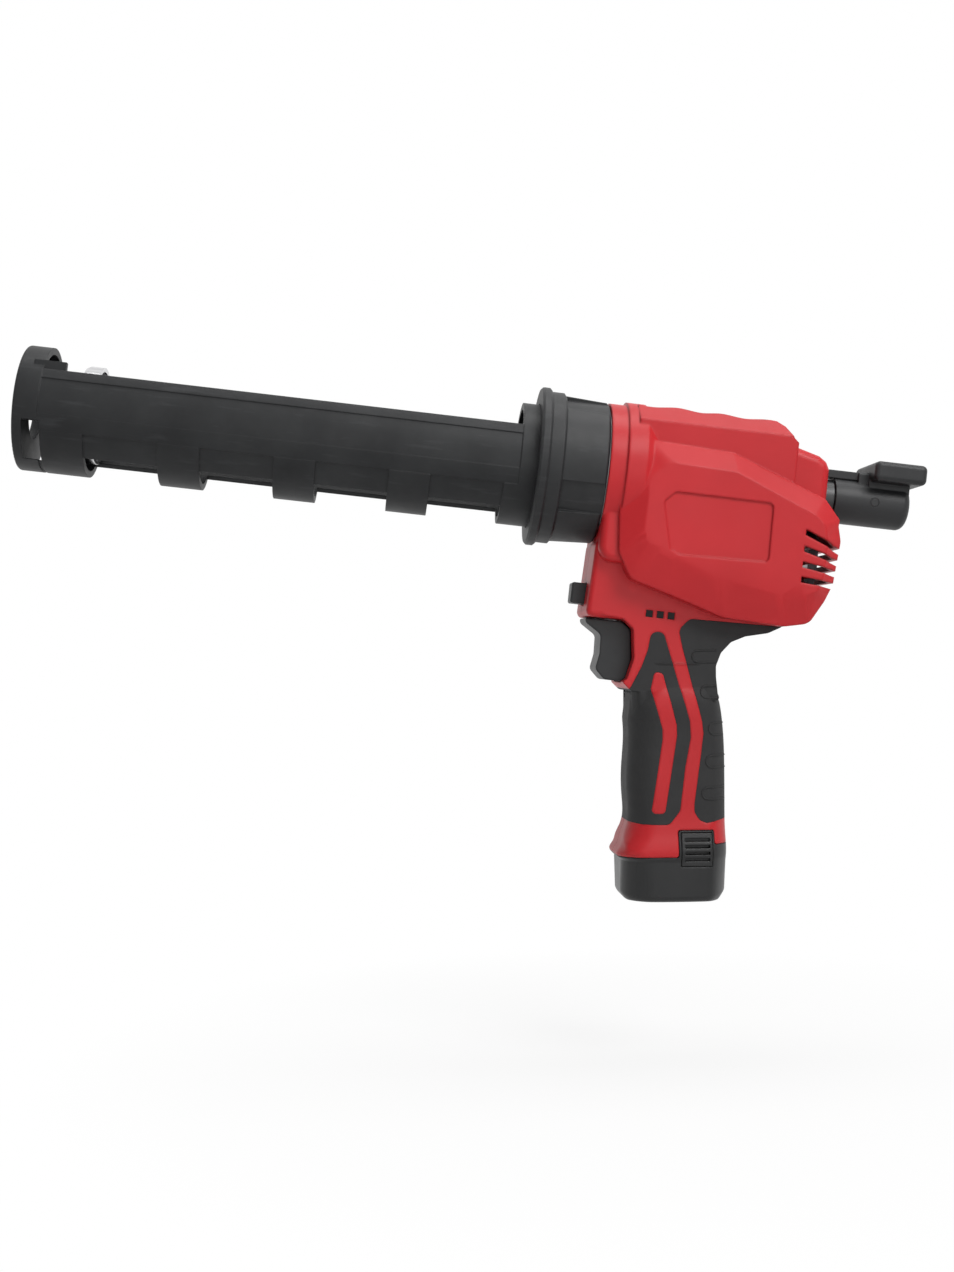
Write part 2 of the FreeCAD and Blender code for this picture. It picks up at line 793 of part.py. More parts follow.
def bevel_gear():
    depth = bevel_module * bevel_pinion_teeth / 2
    pitch_r = bevel_module * bevel_gear_teeth / 2
    space = math.pi / bevel_gear_teeth
    teeth = bevel_solid(bevel_gear_teeth, bevel_pinion_teeth, space, gear_frame)
    rim = cylinder_y(pitch_r + bevel_module / 2, 0, depth + bevel_back_t, pinion_x, motor_z)
    teeth = teeth.common(rim)
    root_angle = min(angle for angle, turn in bevel_ring(bevel_gear_teeth, bevel_pinion_teeth))
    back_r = depth * math.tan(root_angle) - run_gap
    back = cylinder_y(back_r, depth - bed_gap, depth + bevel_back_t, pinion_x, motor_z)
    gear = teeth.fuse(back).removeSplitter()
    return gear.cut(cylinder_y(cross_shaft_r + bed_gap, -wide, wide, pinion_x, motor_z))


def cross_shaft():
    return cylinder_y(cross_shaft_r, -case_half_w, case_half_w, pinion_x, motor_z)


def cross_pinion():
    return spur_gear(cross_teeth, pinion_x, motor_z, spur_y, spur_w, 90, cross_shaft_r + bed_gap)


def clutch_gear():
    half_step = 180 / clutch_teeth
    return spur_gear(clutch_teeth, pinion_x, pinion_z, spur_y, spur_w, half_step - 90, pinion_shaft_r + run_gap)


def rack_pinion():
    return spur_gear(pinion_teeth, pinion_x, pinion_z, -pinion_w / 2, pinion_w, 90, pinion_shaft_r + bed_gap)


def pinion_shaft():
    return cylinder_y(pinion_shaft_r, -case_half_w, case_half_w, pinion_x, pinion_z)


# Gear case, gearbox and motor


def cover_screw_places():
    inset = case_wall / 2
    front_x = case_box_x + case_front_t / 2
    rear_x_screw = case_rear_x - inset
    return [
        (front_x, case_floor_z + cover_screw_rise), (front_x, case_top_z - inset),
        (rear_x_screw, case_floor_z + inset), (rear_x_screw, case_top_z - inset),
    ]


def gear_case():
    spigot_end = case_front_x + spigot_l
    spigot = cylinder_x(spigot_r, case_front_x, spigot_end)
    pocket = tube_x(spigot_r - spigot_rim_t, bush_r + spigot_rim_t,
                    case_front_x + spigot_face_t, spigot_end + overrun)
    spigot = spigot.cut(pocket)
    box = block(case_box_x, case_rear_x, -case_half_w, case_half_w, case_floor_z, case_top_z)
    cavity = block(case_box_x + case_front_t, case_rear_x - case_wall, -case_half_w - overrun,
                   case_half_w - case_wall, case_floor_z + case_wall, case_top_z - case_wall)
    case = fused([spigot, box]).cut(cavity)
    case = case.cut(cylinder_x(bush_r + bed_gap, case_front_x - overrun, case_front_x + front_bush_l))
    case = case.cut(cylinder_x(rod_r + slide_gap, case_front_x, case_rear_x + overrun))
    case = case.cut(cylinder_x(gearbox_pilot_r + bed_gap, case_rear_x - case_wall - overrun,
                               case_rear_x + overrun, motor_z))
    for radius, z in ((pinion_bearing_r, pinion_z), (cross_bearing_r, motor_z)):
        case = case.cut(cylinder_y(radius + bed_gap, 0, wide, pinion_x, z))
    for x, z in cover_screw_places():
        case = case.cut(cylinder_y(cover_screw_r + bed_gap, -case_half_w - overrun,
                                   -case_half_w + cover_screw_l, x, z))
    return case


def gear_case_cover():
    outer_y = -case_half_w - cover_t
    cover = block(case_box_x, case_rear_x, outer_y, -case_half_w, case_floor_z, case_top_z)
    for radius, z in ((pinion_bearing_r, pinion_z), (cross_bearing_r, motor_z)):
        cover = cover.cut(cylinder_y(radius + bed_gap, -wide, 0, pinion_x, z))
    for x, z in cover_screw_places():
        cover = cover.cut(cylinder_y(cover_screw_r + bed_gap, -wide, 0, x, z))
    return cover


def cover_screws():
    screws = []
    outer_y = -case_half_w - cover_t
    for x, z in cover_screw_places():
        head = cylinder_y(cover_screw_head_r, outer_y - cover_screw_head_t, outer_y, x, z)
        shank = cylinder_y(cover_screw_r, outer_y - cover_screw_head_t / 2,
                           -case_half_w + cover_screw_l - bed_gap, x, z)
        screws.append(head.fuse(shank).removeSplitter())
    return Part.makeCompound(screws)


def shaft_bearings():
    bearings = []
    for radius, shaft_r, z in ((pinion_bearing_r, pinion_shaft_r, pinion_z),
                               (cross_bearing_r, cross_shaft_r, motor_z)):
        bore = shaft_r + run_gap
        bearings.append(tube_y(radius, bore, case_half_w - case_wall, case_half_w, pinion_x, z))
        bearings.append(tube_y(radius, bore, -case_half_w - cover_t, -case_half_w, pinion_x, z))
    return Part.makeCompound(bearings)


def front_bush():
    return tube_x(bush_r, bush_in_r, case_front_x, case_front_x + front_bush_l)


def rear_bush():
    start = rear_x - tongue_reach
    return tube_x(bush_r, bush_in_r, start, handle_x - slide_gap)


def gearbox():
    body = cylinder_x(gearbox_r, gearbox_x, gearbox_x + gearbox_l, motor_z)
    pilot = cylinder_x(gearbox_pilot_r, gearbox_x - case_wall, gearbox_x, motor_z)
    box = body.fuse(pilot).removeSplitter()
    box = box.cut(cylinder_x(drive_shaft_r + run_gap, gearbox_x - overrun,
                             gearbox_x + drive_shaft_l + run_gap, motor_z))
    hub_r = bevel_module * bevel_pinion_teeth / 2 - bevel_module
    box = box.cut(cylinder_x(hub_r + run_gap, gearbox_x - case_wall - overrun, gearbox_x + run_gap, motor_z))
    return box.cut(cylinder_x(motor_shaft_r + run_gap, motor_x - fan_t, motor_x + overrun, motor_z))


def motor_can():
    can = cylinder_x(motor_r, motor_x, motor_cap_x, motor_z)
    can = can.cut(cylinder_x(motor_r - motor_wall, motor_x + motor_wall, motor_cap_x + overrun, motor_z))
    return can.cut(cylinder_x(motor_shaft_r + run_gap, motor_x - overrun, motor_x + overrun, motor_z))


def motor_end_cap():
    end = motor_cap_x + motor_cap_l
    cap = cylinder_x(motor_r, motor_cap_x, motor_cap_x + motor_cap_step, motor_z)
    nose = cylinder_x(motor_r - motor_cap_step, motor_cap_x, end, motor_z)
    cap = cap.fuse(nose).removeSplitter()
    return cap.cut(cylinder_x(motor_shaft_r + run_gap, motor_cap_x - overrun, end - motor_cap_step, motor_z))


def motor_shaft():
    shaft = cylinder_x(motor_shaft_r, motor_x - fan_t + run_gap,
                       motor_cap_x + motor_cap_l - motor_cap_step - run_gap, motor_z)
    rotor_x = motor_cap_x - rotor_l - motor_wall
    rotor = cylinder_x(rotor_r, rotor_x, rotor_x + rotor_l, motor_z)
    return shaft.fuse(rotor).removeSplitter()


def motor_fan():
    start = motor_x + 2 * motor_wall
    hub = cylinder_x(fan_hub_r, start, start + fan_t, motor_z)
    vanes = [hub]
    for index in range(fan_blades):
        vane = block(start, start + fan_t, -fan_blade_t / 2, fan_blade_t / 2,
                     motor_z + fan_hub_r / 2, motor_z + fan_r)
        vane.rotate(point(start, 0, motor_z), X_AXIS, index * 360 / fan_blades)
        vanes.append(vane)
    return fused(vanes).cut(cylinder_x(motor_shaft_r + bed_gap, start - overrun, start + fan_t + overrun, motor_z))


# Housing


def lobe_outline(shares, inset):
    return inset_outline(placed(shares, lobe_x, lobe_l, lobe_floor_z, lobe_h), inset)


def motor_lobe(inset):
    edge = lobe_outline(lobe_edge_shares, inset)
    face = lobe_outline(lobe_face_shares, inset * 0)
    shoulder = lobe_shoulder_w - inset
    outer = lobe_face_w - inset
    middle = side_slab(edge, shoulder, lobe_corner_r)
    flanks = []
    for side in (-1, 1):
        wires = [side_wire(edge, side * shoulder, lobe_corner_r), side_wire(face, side * outer, lobe_corner_r)]
        flanks.append(Part.makeLoft(wires, True, True))
    return [middle] + flanks


def hood(inset):
    floor_z = hood_floor_z
    height = hood_top_z
    wave = [point(hood_x + a * hood_l, 0, b * height - inset) for a, b in hood_wave_shares]
    fall = [point(hood_x + a * hood_l - inset, 0, b * height - inset) for a, b in hood_fall_shares]
    crest = Part.BSplineCurve()
    crest.interpolate(wave)
    end = point(fall[-1].x, 0, floor_z)
    start = point(wave[0].x, 0, floor_z)
    rest = Part.makePolygon([wave[-1]] + fall + [end, start, wave[0]])
    profile = Part.Face(Part.Wire([crest.toShape()] + rest.Edges))
    half_w = hood_half_w - inset
    body = profile.extrude(Y_AXIS * (2 * half_w))
    body.translate(Y_AXIS * -half_w)
    crown_z = hood_top_z + overrun
    slope = (hood_half_w - hood_top_half_w) / (hood_top_z - hood_crease_z)
    crown_half_w = max(hood_top_half_w - inset - overrun * slope / 2, bed_gap)
    crown_rise = (half_w - crown_half_w) / slope
    section = [
        (-half_w, floor_z - overrun), (half_w, floor_z - overrun), (half_w, hood_crease_z - inset / 2),
        (crown_half_w, hood_crease_z - inset / 2 + crown_rise), (crown_half_w, crown_z + overrun),
        (-crown_half_w, crown_z + overrun), (-crown_half_w, hood_crease_z - inset / 2 + crown_rise),
        (-half_w, hood_crease_z - inset / 2),
    ]
    ring = [point(hood_x - overrun, y, z) for y, z in section]
    across = Part.Face(polygon_wire(ring)).extrude(X_AXIS * (hood_l + 2 * overrun))
    return body.common(across)


def deck(inset):
    top = [(deck_x + a * deck_l, b * deck_top_z) for a, b in deck_top_shares]
    outline = top + [(rear_x, deck_floor_z), (deck_x, deck_floor_z)]
    if inset > 0:
        outline = inset_outline(outline, inset)
    return side_slab(outline, deck_half_w - inset, wall, 0 if inset > 0 else deck_round)


def front_neck(inset):
    outline = [(ring_x, neck_floor_z), (ring_x, neck_top_z),
               (ring_x + neck_l, neck_top_z), (ring_x + neck_l, neck_floor_z)]
    outline = inset_outline(outline, inset)
    return side_slab(outline, neck_half_w - inset, neck_round, 0 if inset > 0 else neck_round / 2)


def front_ring(inset):
    ring_end = ring_x + ring_l
    bump_end = ring_end + bump_l
    taper_end = bump_end + bump_taper_l
    profile = [
        (ring_x + inset, 0), (ring_x + inset, ring_r - inset), (ring_end - inset / 2, ring_r - inset),
        (ring_end, bump_r - inset), (bump_end - inset / 2, bump_r - inset), (taper_end, bump_end_r - inset),
        (taper_end, 0),
    ]
    return revolved(profile)


def nose_block(inset):
    outline = inset_outline(placed(nose_shares, nose_x, nose_l, nose_floor_z, nose_h), inset)
    nose = side_slab(outline, block_half_w - inset, nose_corner_r, 0 if inset > 0 else nose_edge_r)
    outline = inset_outline(placed(block_shares, block_x, block_l, block_floor_z, block_h), inset)
    return [nose, side_slab(outline, block_half_w - inset, block_corner_r)]


def grip_column(inset):
    sections = []
    for height, front, rear, across in grip_section_shares:
        sections.append(leaning_section(front * grip_front - inset, rear * grip_rear - inset,
                                        across * grip_half_w - inset, height * grip_h, base_corner_r - inset))
    return Part.makeLoft(sections, True, False)


def housing_form(inset):
    """The whole outside of the housing, or the same forms drawn in by inset."""
    forms = [front_ring(inset), front_neck(inset), hood(inset), deck(inset), grip_column(inset)]
    return forms[0].multiFuse(forms[1:] + nose_block(inset) + motor_lobe(inset))


def grip_panel(shares, radius):
    outline = [(a * (grip_front + grip_rear) / 2, b * grip_h) for a, b in shares]
    return leaning_prism(outline, -wide, wide, radius)


def rubber_skin(outer, under):
    """The front and rear rubber panels, still joined across the tool."""
    front = grip_panel(front_rubber_shares, rubber_corner_r)
    front = front.cut(grip_panel(chevron_shares, chevron_corner_r))
    rear = grip_panel(rear_rubber_shares, rubber_corner_r)
    skin = outer.cut(under)
    return skin.common(Part.makeCompound([front, rear]))


def boss_places():
    return placed(boss_shares, lobe_x, lobe_l, lobe_floor_z, lobe_h)


def half_space(side):
    span = 2 * (lobe_l + rear_x)
    start = 0 if side > 0 else -span
    return block(-span, span, start, start + span, -span, span)


def battery_reach(gap):
    """The room that the battery's skirt and latch towers take under the handle."""
    far = base_front + overrun
    tower = latch_w / 2 + gap + wall / 2
    outline = [
        (-far, -overrun), (far, -overrun), (far, skirt_rear_h + gap),
        (latch_u + tower, skirt_rear_h + gap), (latch_u + tower, latch_tower_h + gap),
        (latch_u - tower, latch_tower_h + gap), (latch_u - tower, skirt_h + gap), (-far, skirt_h + gap),
    ]
    return leaning_prism(outline, -wide, wide, wall / 2)


def vent_slots():
    slots = []
    start = lobe_x + vent_start_share * lobe_l
    end = lobe_x + lobe_l + overrun
    for front, rear in zip(vent_front_shares, vent_rear_shares):
        front_z = lobe_floor_z + front * lobe_h
        rear_z = lobe_floor_z + rear * lobe_h
        corners = [
            point(start, -wide, front_z), point(end, -wide, rear_z),
            point(end, -wide, rear_z - vent_slot_h), point(start, -wide, front_z - vent_slot_h),
        ]
        slots.append(Part.Face(polygon_wire(corners)).extrude(Y_AXIS * (2 * wide)))
    return slots


def plate_recesses():
    outline = placed(plate_shares, lobe_x, lobe_l, lobe_floor_z, lobe_h)
    recesses = []
    for side in (-1, 1):
        wire = side_wire(outline, side * (lobe_face_w - plate_recess), plate_corner_r)
        recesses.append(Part.Face(wire).extrude(Y_AXIS * (side * overrun)))
    return recesses


def trigger_room():
    gap = slide_gap
    return block(trigger_x, trigger_x + trigger_l + trigger_travel + 2 * gap,
                 -trigger_half_w - gap, trigger_half_w + gap,
                 trigger_top_z - trigger_h - gap, trigger_top_z + gap)


def housing_ribs(inner):
    """Webs across the inside that bed the motor, the switch and the terminal block."""
    motor_webs = []
    for x in (motor_x + rib_t, motor_cap_x - 2 * rib_t):
        motor_webs.append(block(x, x + rib_t, -wide, wide, lobe_floor_z, motor_z + motor_r / 2))
    switch_webs = []
    for z in (switch_top_z - switch_h, switch_top_z - rib_t):
        switch_webs.append(block(switch_x + rib_t, switch_x + switch_l - rib_t, -wide, wide, z, z + rib_t))
    terminal_web = leaning_block(-terminal_half_u, terminal_half_u, -wide, wide,
                                 terminal_v + blade_t, terminal_v + blade_t + rib_t)
    webs = Part.makeCompound(motor_webs + switch_webs + [terminal_web]).common(inner)
    rooms = [
        cylinder_x(motor_r + bed_gap, motor_x - overrun, motor_cap_x + overrun, motor_z),
        block(switch_x - bed_gap, switch_x + switch_l + bed_gap, -switch_half_w - bed_gap,
              switch_half_w + bed_gap, switch_top_z - switch_h - bed_gap, switch_top_z + bed_gap),
        leaning_block(-terminal_half_u - overrun, terminal_half_u + overrun, -stem_half_w + wall,
                      stem_half_w - wall, terminal_v - bed_gap, terminal_v + terminal_h + bed_gap),
    ]
    return webs.cut(Part.makeCompound(rooms))


def housing_bosses(inner):
    posts = [cylinder_y(boss_r, -wide, wide, x, z) for x, z in boss_places()]
    posts.append(cylinder_y(post_r, -wide, board_y - board_t - bed_gap, board_x + post_r, gauge_z))
    posts.append(cylinder_y(post_r, -wide, board_y - board_t - bed_gap, board_x + board_l - post_r, gauge_z))
    return Part.makeCompound(posts).common(inner)


def housing_openings():
    """Everything that is cut through the moulded walls."""
    cuts = [
        cylinder_x(spigot_r + slide_gap / 2, ring_x - overrun, case_front_x + spigot_l),
        cylinder_x(bush_r + bed_gap, rear_x - tongue_reach, rear_x + overrun),
        block(rear_x - tongue_reach - slide_gap, rear_x + overrun, -tongue_w / 2 - slide_gap,
              tongue_w / 2 + slide_gap, tongue_z - slide_gap, tongue_z + tongue_t + slide_gap),
        block(block_x - overrun, block_x + 2 * wall + button_travel, -button_half_w - slide_gap,
              button_half_w + slide_gap, button_z - slide_gap, button_z + button_h + slide_gap),
        trigger_room(),
        battery_reach(slide_gap),
        leaning_column(stem_front + slide_gap, stem_rear + slide_gap, stem_half_w + slide_gap,
                       stem_corner_r, 0, battery_top_v + slide_gap),
    ]
    for index in range(gauge_count):
        x = gauge_x + index * gauge_pitch
        half = gauge_size / 2 + bed_gap
        cuts.append(block(x - half, x + half, -wide, gauge_y, gauge_z - half, gauge_z + half))
    for x, z in boss_places():
        cuts.append(cylinder_y(screw_hole_r, -screw_l / 2, wide, x, z))
        cuts.append(cylinder_y(screw_head_r + bed_gap, screw_l / 2, wide, x, z))
    return cuts + vent_slots() + plate_recesses()


def housing_halves():
    """Both shells and their rubber, cut from one closed form along the middle plane."""
    outer = housing_form(0)
    under = housing_form(rubber_t)
    inner = housing_form(wall)
    rubber = rubber_skin(outer, under).cut(battery_reach(slide_gap))
    shell = outer.cut(inner)
    shell = shell.fuse(housing_ribs(inner)).fuse(housing_bosses(inner))
    shell = shell.cut(Part.makeCompound(housing_openings())).cut(rubber)
    for x, z in boss_places():
        rubber = rubber.cut(cylinder_y(screw_head_r + bed_gap, 0, wide, x, z))
    halves = {}
    for name, side in (("left", -1), ("right", 1)):
        room = half_space(side)
        halves["housing_" + name] = shell.common(room)
        halves["grip_" + name] = rubber.common(room)
    return halves


def housing_screws():
    screws = []
    for x, z in boss_places():
        shank = cylinder_y(screw_r, -screw_l / 2 + bed_gap, screw_l / 2 + screw_head_t / 2, x, z)
        head = cylinder_y(screw_head_r, screw_l / 2, screw_l / 2 + screw_head_t, x, z)
        screws.append(shank.fuse(head).removeSplitter())
    return Part.makeCompound(screws)


# Trigger, button, switch, board and gauge


def trigger():
    outline = placed(trigger_shares, trigger_x, trigger_l, trigger_top_z - trigger_h, trigger_h)
    body = side_slab(outline, trigger_half_w, trigger_round, trigger_edge_r)
    middle_z = trigger_top_z - trigger_h / 2
    plunger = cylinder_x(plunger_r, trigger_x + trigger_l / 2, switch_x + plunger_reach - trigger_travel, middle_z)
    return body.fuse(plunger).removeSplitter()


def switch_body():
    floor_z = switch_top_z - switch_h
    body = block(switch_x, switch_x + switch_l, -switch_half_w, switch_half_w, floor_z, switch_top_z)
    middle_z = trigger_top_z - trigger_h / 2
    return body.cut(cylinder_x(plunger_r + slide_gap, switch_x - overrun, switch_x + plunger_reach + slide_gap, middle_z))


def front_button():
    inside_x = nose_x + wall + 3 * slide_gap
    button = block(button_x, inside_x + button_flange_t, -button_half_w, button_half_w, button_z, button_z + button_h)
    front = [e for e in button.Edges if e.BoundBox.XMax < button_x + bed_gap]
    button = button.makeFillet(button_round, front)
    lip = button_flange_lip
    flange = block(inside_x, inside_x + button_flange_t, -button_half_w - lip, button_half_w + lip,
                   button_z - lip, button_z + button_h + lip)
    return button.fuse(flange).removeSplitter()


def control_board():
    return block(board_x, board_x + board_l, board_y - board_t, board_y, board_z, board_z + board_h)


def gauge_lenses():
    lenses = []
    for index in range(gauge_count):
        x = gauge_x + index * gauge_pitch - gauge_size / 2
        lenses.append(block(x, x + gauge_size, -block_half_w + bed_gap, board_y - board_t,
                            gauge_z - gauge_size / 2, gauge_z + gauge_size / 2))
    return Part.makeCompound(lenses)


def terminal_block():
    half_w = stem_half_w - wall - bed_gap
    body = leaning_block(-terminal_half_u, terminal_half_u, -half_w, half_w, terminal_v, terminal_v + terminal_h)
    for side in (-1, 1):
        y = side * contact_pitch / 2
        body = body.cut(leaning_block(-blade_w / 2, blade_w / 2, y - blade_t / 2, y + blade_t / 2,
                                      terminal_v - overrun, terminal_v + terminal_h / 2))
    return body


def terminal_blades():
    blades = []
    for side in (-1, 1):
        y = side * contact_pitch / 2
        half_t = blade_t / 2 - bed_gap
        blades.append(leaning_block(-blade_w / 2 + bed_gap, blade_w / 2 - bed_gap, y - half_t, y + half_t,
                                    terminal_v - blade_drop, terminal_v + terminal_h / 2))
    return Part.makeCompound(blades)


# Battery


def cell_places():
    return [(cell_pair_u, -cell_pair_y), (cell_pair_u, cell_pair_y), (cell_front_u, 0)]


def latch_room(side, gap):
    y_start = stem_half_w - latch_t / 2
    outer = base_half_w + overrun
    y_range = (y_start, outer) if side > 0 else (-outer, -y_start)
    return leaning_block(latch_u - latch_w / 2 - gap, latch_u + latch_w / 2 + gap, y_range[0], y_range[1],
                         latch_v - gap, latch_v + latch_h + gap)


def base_form():
    """The outside of the battery's foot, in line with the handle above it."""
    foot = leaning_column(base_front, base_rear, base_half_w, base_corner_r, 0, foot_top_v)
    up = leaning(0, 0, 1) - leaning(0, 0, 0)
    rim = []
    for edge in foot.Edges:
        if all((vertex.Point - leaning(0, 0, 0)).dot(up) < bed_gap for vertex in edge.Vertexes):
            rim.append(edge)
    foot = foot.makeFillet(base_round, rim)
    return foot.fuse(grip_column(0)).removeSplitter()


def battery_case():
    skirt = base_form().common(battery_reach(0))
    stem = leaning_column(stem_front, stem_rear, stem_half_w, stem_corner_r, cell_floor, stem_h)
    case = skirt.fuse(stem).removeSplitter()
    for u, y in cell_places():
        case = case.cut(leaning_cylinder(cell_r + bed_gap, u, y, cell_floor, stem_h + overrun))
    for side in (-1, 1):
        case = case.cut(latch_room(side, slide_gap))
    return case


def battery_cap():
    cap = leaning_column(stem_front, stem_rear, stem_half_w, stem_corner_r, stem_h, battery_top_v)
    for side in (-1, 1):
        y = side * contact_pitch / 2
        cap = cap.cut(leaning_block(-contact_w / 2, contact_w / 2, y - contact_t - slide_gap, y + contact_t + slide_gap,
                                    battery_top_v - contact_h + contact_t, battery_top_v + overrun))
    return cap


def battery_cells():
    return Part.makeCompound([leaning_cylinder(cell_r, u, y, cell_floor, cell_floor + cell_l)
                              for u, y in cell_places()])


def battery_contacts():
    contacts = []
    for side in (-1, 1):
        y = side * contact_pitch / 2
        for edge in (-1, 1):
            inner = y + edge * (blade_t / 2 + bed_gap)
            outer = y + edge * (contact_t + slide_gap)
            contacts.append(leaning_block(-contact_w / 2 + bed_gap, contact_w / 2 - bed_gap,
                                          min(inner, outer), max(inner, outer),
                                          battery_top_v - contact_h + contact_t, battery_top_v - contact_t))
    return Part.makeCompound(contacts)


def battery_latch(side):
    face = latch_room(1, 0).common(base_form())
    front = base_half_w
    inner = front - latch_t - latch_rib_depth
    keep = leaning_block(-base_front, base_rear, inner, front + overrun, 0, grip_h)
    latch = face.common(keep)
    pitch = latch_h / (latch_rib_count + 1)
    grooves = []
    for index in range(latch_rib_count):
        v = latch_v + (index + 1) * pitch - latch_rib_t / 2
        grooves.append(leaning_block(latch_u - latch_w / 2 + latch_rib_t, latch_u + latch_w / 2 - latch_rib_t,
                                     front - latch_rib_depth - wall / 2, front + overrun, v, v + latch_rib_t))
    latch = latch.cut(Part.makeCompound(grooves))
    return latch if side > 0 else mirrored(latch)


nodes = {
    "cartridge_barrel": cartridge_barrel,
    "lock_collar": lock_collar,
    "push_rod": push_rod,
    "piston_plate": piston_plate,
    "piston_screw": piston_screw,
    "pull_handle": pull_handle,
    "handle_pin": handle_pin,
    "rack_pinion": rack_pinion,
    "pinion_shaft": pinion_shaft,
    "clutch_gear": clutch_gear,
    "cross_shaft": cross_shaft,
    "cross_pinion": cross_pinion,
    "bevel_gear": bevel_gear,
    "bevel_pinion": bevel_pinion,
    "gear_case": gear_case,
    "gear_case_cover": gear_case_cover,
    "cover_screws": cover_screws,
    "shaft_bearings": shaft_bearings,
    "front_bush": front_bush,
    "rear_bush": rear_bush,
    "gearbox": gearbox,
    "motor_can": motor_can,
    "motor_end_cap": motor_end_cap,
    "motor_shaft": motor_shaft,
    "motor_fan": motor_fan,
    "housing_screws": housing_screws,
    "trigger": trigger,
    "switch_body": switch_body,
    "front_button": front_button,
    "control_board": control_board,
    "gauge_lenses": gauge_lenses,
    "terminal_block": terminal_block,
    "terminal_blades": terminal_blades,
    "battery_case": battery_case,
    "battery_cap": battery_cap,
    "battery_cells": battery_cells,
    "battery_contacts": battery_contacts,
    "battery_latch_left": lambda: battery_latch(-1),
    "battery_latch_right": lambda: battery_latch(1),
}

os.makedirs("parts", exist_ok=True)
solids = {name: make() for name, make in nodes.items()}
solids.update(housing_halves())
for name, shape in solids.items():
    shape.exportStep("parts/" + name + ".step")
    volume = sum(solid.Volume for solid in shape.Solids)
    print(name, len(shape.Solids), "solids", round(volume), "mm3", "valid" if shape.isValid() else "INVALID")
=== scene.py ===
import json
import math

import bmesh
import bpy
from mathutils import Matrix, Vector
from mathutils.bvhtree import BVHTree


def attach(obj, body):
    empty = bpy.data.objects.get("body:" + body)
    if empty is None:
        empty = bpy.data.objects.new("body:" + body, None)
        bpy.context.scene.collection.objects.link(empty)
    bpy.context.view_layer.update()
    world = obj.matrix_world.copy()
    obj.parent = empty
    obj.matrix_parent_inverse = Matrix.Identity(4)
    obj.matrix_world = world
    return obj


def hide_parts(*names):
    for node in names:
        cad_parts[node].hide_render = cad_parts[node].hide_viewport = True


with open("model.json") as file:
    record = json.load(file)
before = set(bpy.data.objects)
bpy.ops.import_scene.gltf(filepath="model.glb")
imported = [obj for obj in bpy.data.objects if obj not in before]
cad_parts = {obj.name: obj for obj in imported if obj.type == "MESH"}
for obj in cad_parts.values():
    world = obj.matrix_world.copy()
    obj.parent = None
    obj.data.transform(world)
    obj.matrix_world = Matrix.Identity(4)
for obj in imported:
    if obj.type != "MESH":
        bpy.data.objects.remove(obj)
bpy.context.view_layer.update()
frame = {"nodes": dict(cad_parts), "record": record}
nodes = frame["nodes"]
record = frame["record"]
body_of = {node: body for body, members in record["behaviour"]["bodies"].items() for node in members}
slot_of = {entry["node"]: entry["material_slot"] for entry in record["subparts"]}
scene = bpy.context.scene
scene.view_settings.view_transform = "Standard"

# The handle's own frame starts at the resting face under the battery. "Along" runs from the handle's
# front to its rear, "height" runs up the leaning handle. All lengths are metres
base_face = next(mount for mount in record["mounts"] if mount["name"] == "base_face")
FOOT = Vector(base_face["pos_m"])
UP = -Vector(base_face["axis"]).normalized()
ACROSS = Vector((0.0, 1.0, 0.0))
ALONG = ACROSS.cross(UP)

# Points closer than WELD become one. The angles say from where on an edge is drawn sharp, and the beads
# of the marks have no sharp edge
WELD = 1e-6
SHARP = math.radians(26.0)
WEB_SHARP = math.radians(50.0)
MARK_SHARP = math.pi

# Trims of the skins to the photograph's outline. A pair gives where a run starts and where it is full,
# a group of four also where it begins to fade and where it ends
HANDLE_TRIM = 0.0026
SADDLE_TRIM = 0.0045
SADDLE_RISE = (0.094, 0.099)
SADDLE_FADE = (0.124, 0.133)
REAR_RUN = (0.012, 0.024)
FOOT_TRIM = 0.0022
FOOT_HEIGHTS = (0.021, 0.026, 0.029, 0.040)
FOOT_FRONT = (0.024, 0.029)
THROAT_TRIM = 0.0013
THROAT_HEIGHTS = (0.084, 0.092, 0.0965, 0.098)
THROAT_FRONT = (0.019, 0.0225)

# The motor end is trimmed along the cartridge axis, and towards the deck above it a share of that is lost
MOTOR_TRIM = 0.006
MOTOR_RUN = (0.366, 0.388)
DECK_TRIM_LOSS = 0.5
DECK_RISE = (-0.016, -0.010)

# The battery's base is rounder in plan towards the bottom, and lifted a little at its ends
BASE_HALF = 0.0274
BASE_MIDDLE = -0.0008
BASE_ROUND = 0.30
BASE_ROUND_POWER = 3
BASE_HEIGHT = 0.021
BASE_CUTS = 14
TOE_LIFT = 0.0022
TOE_RUN = (0.8, 1.0)
TOE_HEIGHT = 0.012

# Five raised marks on the rear rubber, long half ovals open to the rear: tip and end along, and height
MARK_PLACES = (
    (0.0068, 0.0181, 0.1152),
    (0.0105, 0.0195, 0.0984),
    (0.0142, 0.0223, 0.0811),
    (0.0127, 0.0232, 0.0658),
    (0.0107, 0.0226, 0.0509),
)
MARK_HALF_HEIGHT = 0.0028
MARK_RADIUS = 0.00045
MARK_STEPS = 9
BEAD_SIDES = 8

# A web of rubber under the trigger surround runs the handle's round front out to its flat flank.
# How far out that flank lies is measured just above the web
WEB_RUN = (-0.0210, -0.0180)
WEB_FRONT = WEB_RUN[0]
WEB_REAR = -0.0129
WEB_LOW = 0.085
WEB_HIGH = 0.0988
WEB_DEPTH = 0.003
WEB_LIFT = 0.00005
WEB_STEPS = 12
FLANK_ALONG = -0.0140
FLANK_HEIGHT = WEB_HIGH + WEB_DEPTH

# Rays that look for the rubber's outer face start this far from the middle plane
RAY_START = 0.06

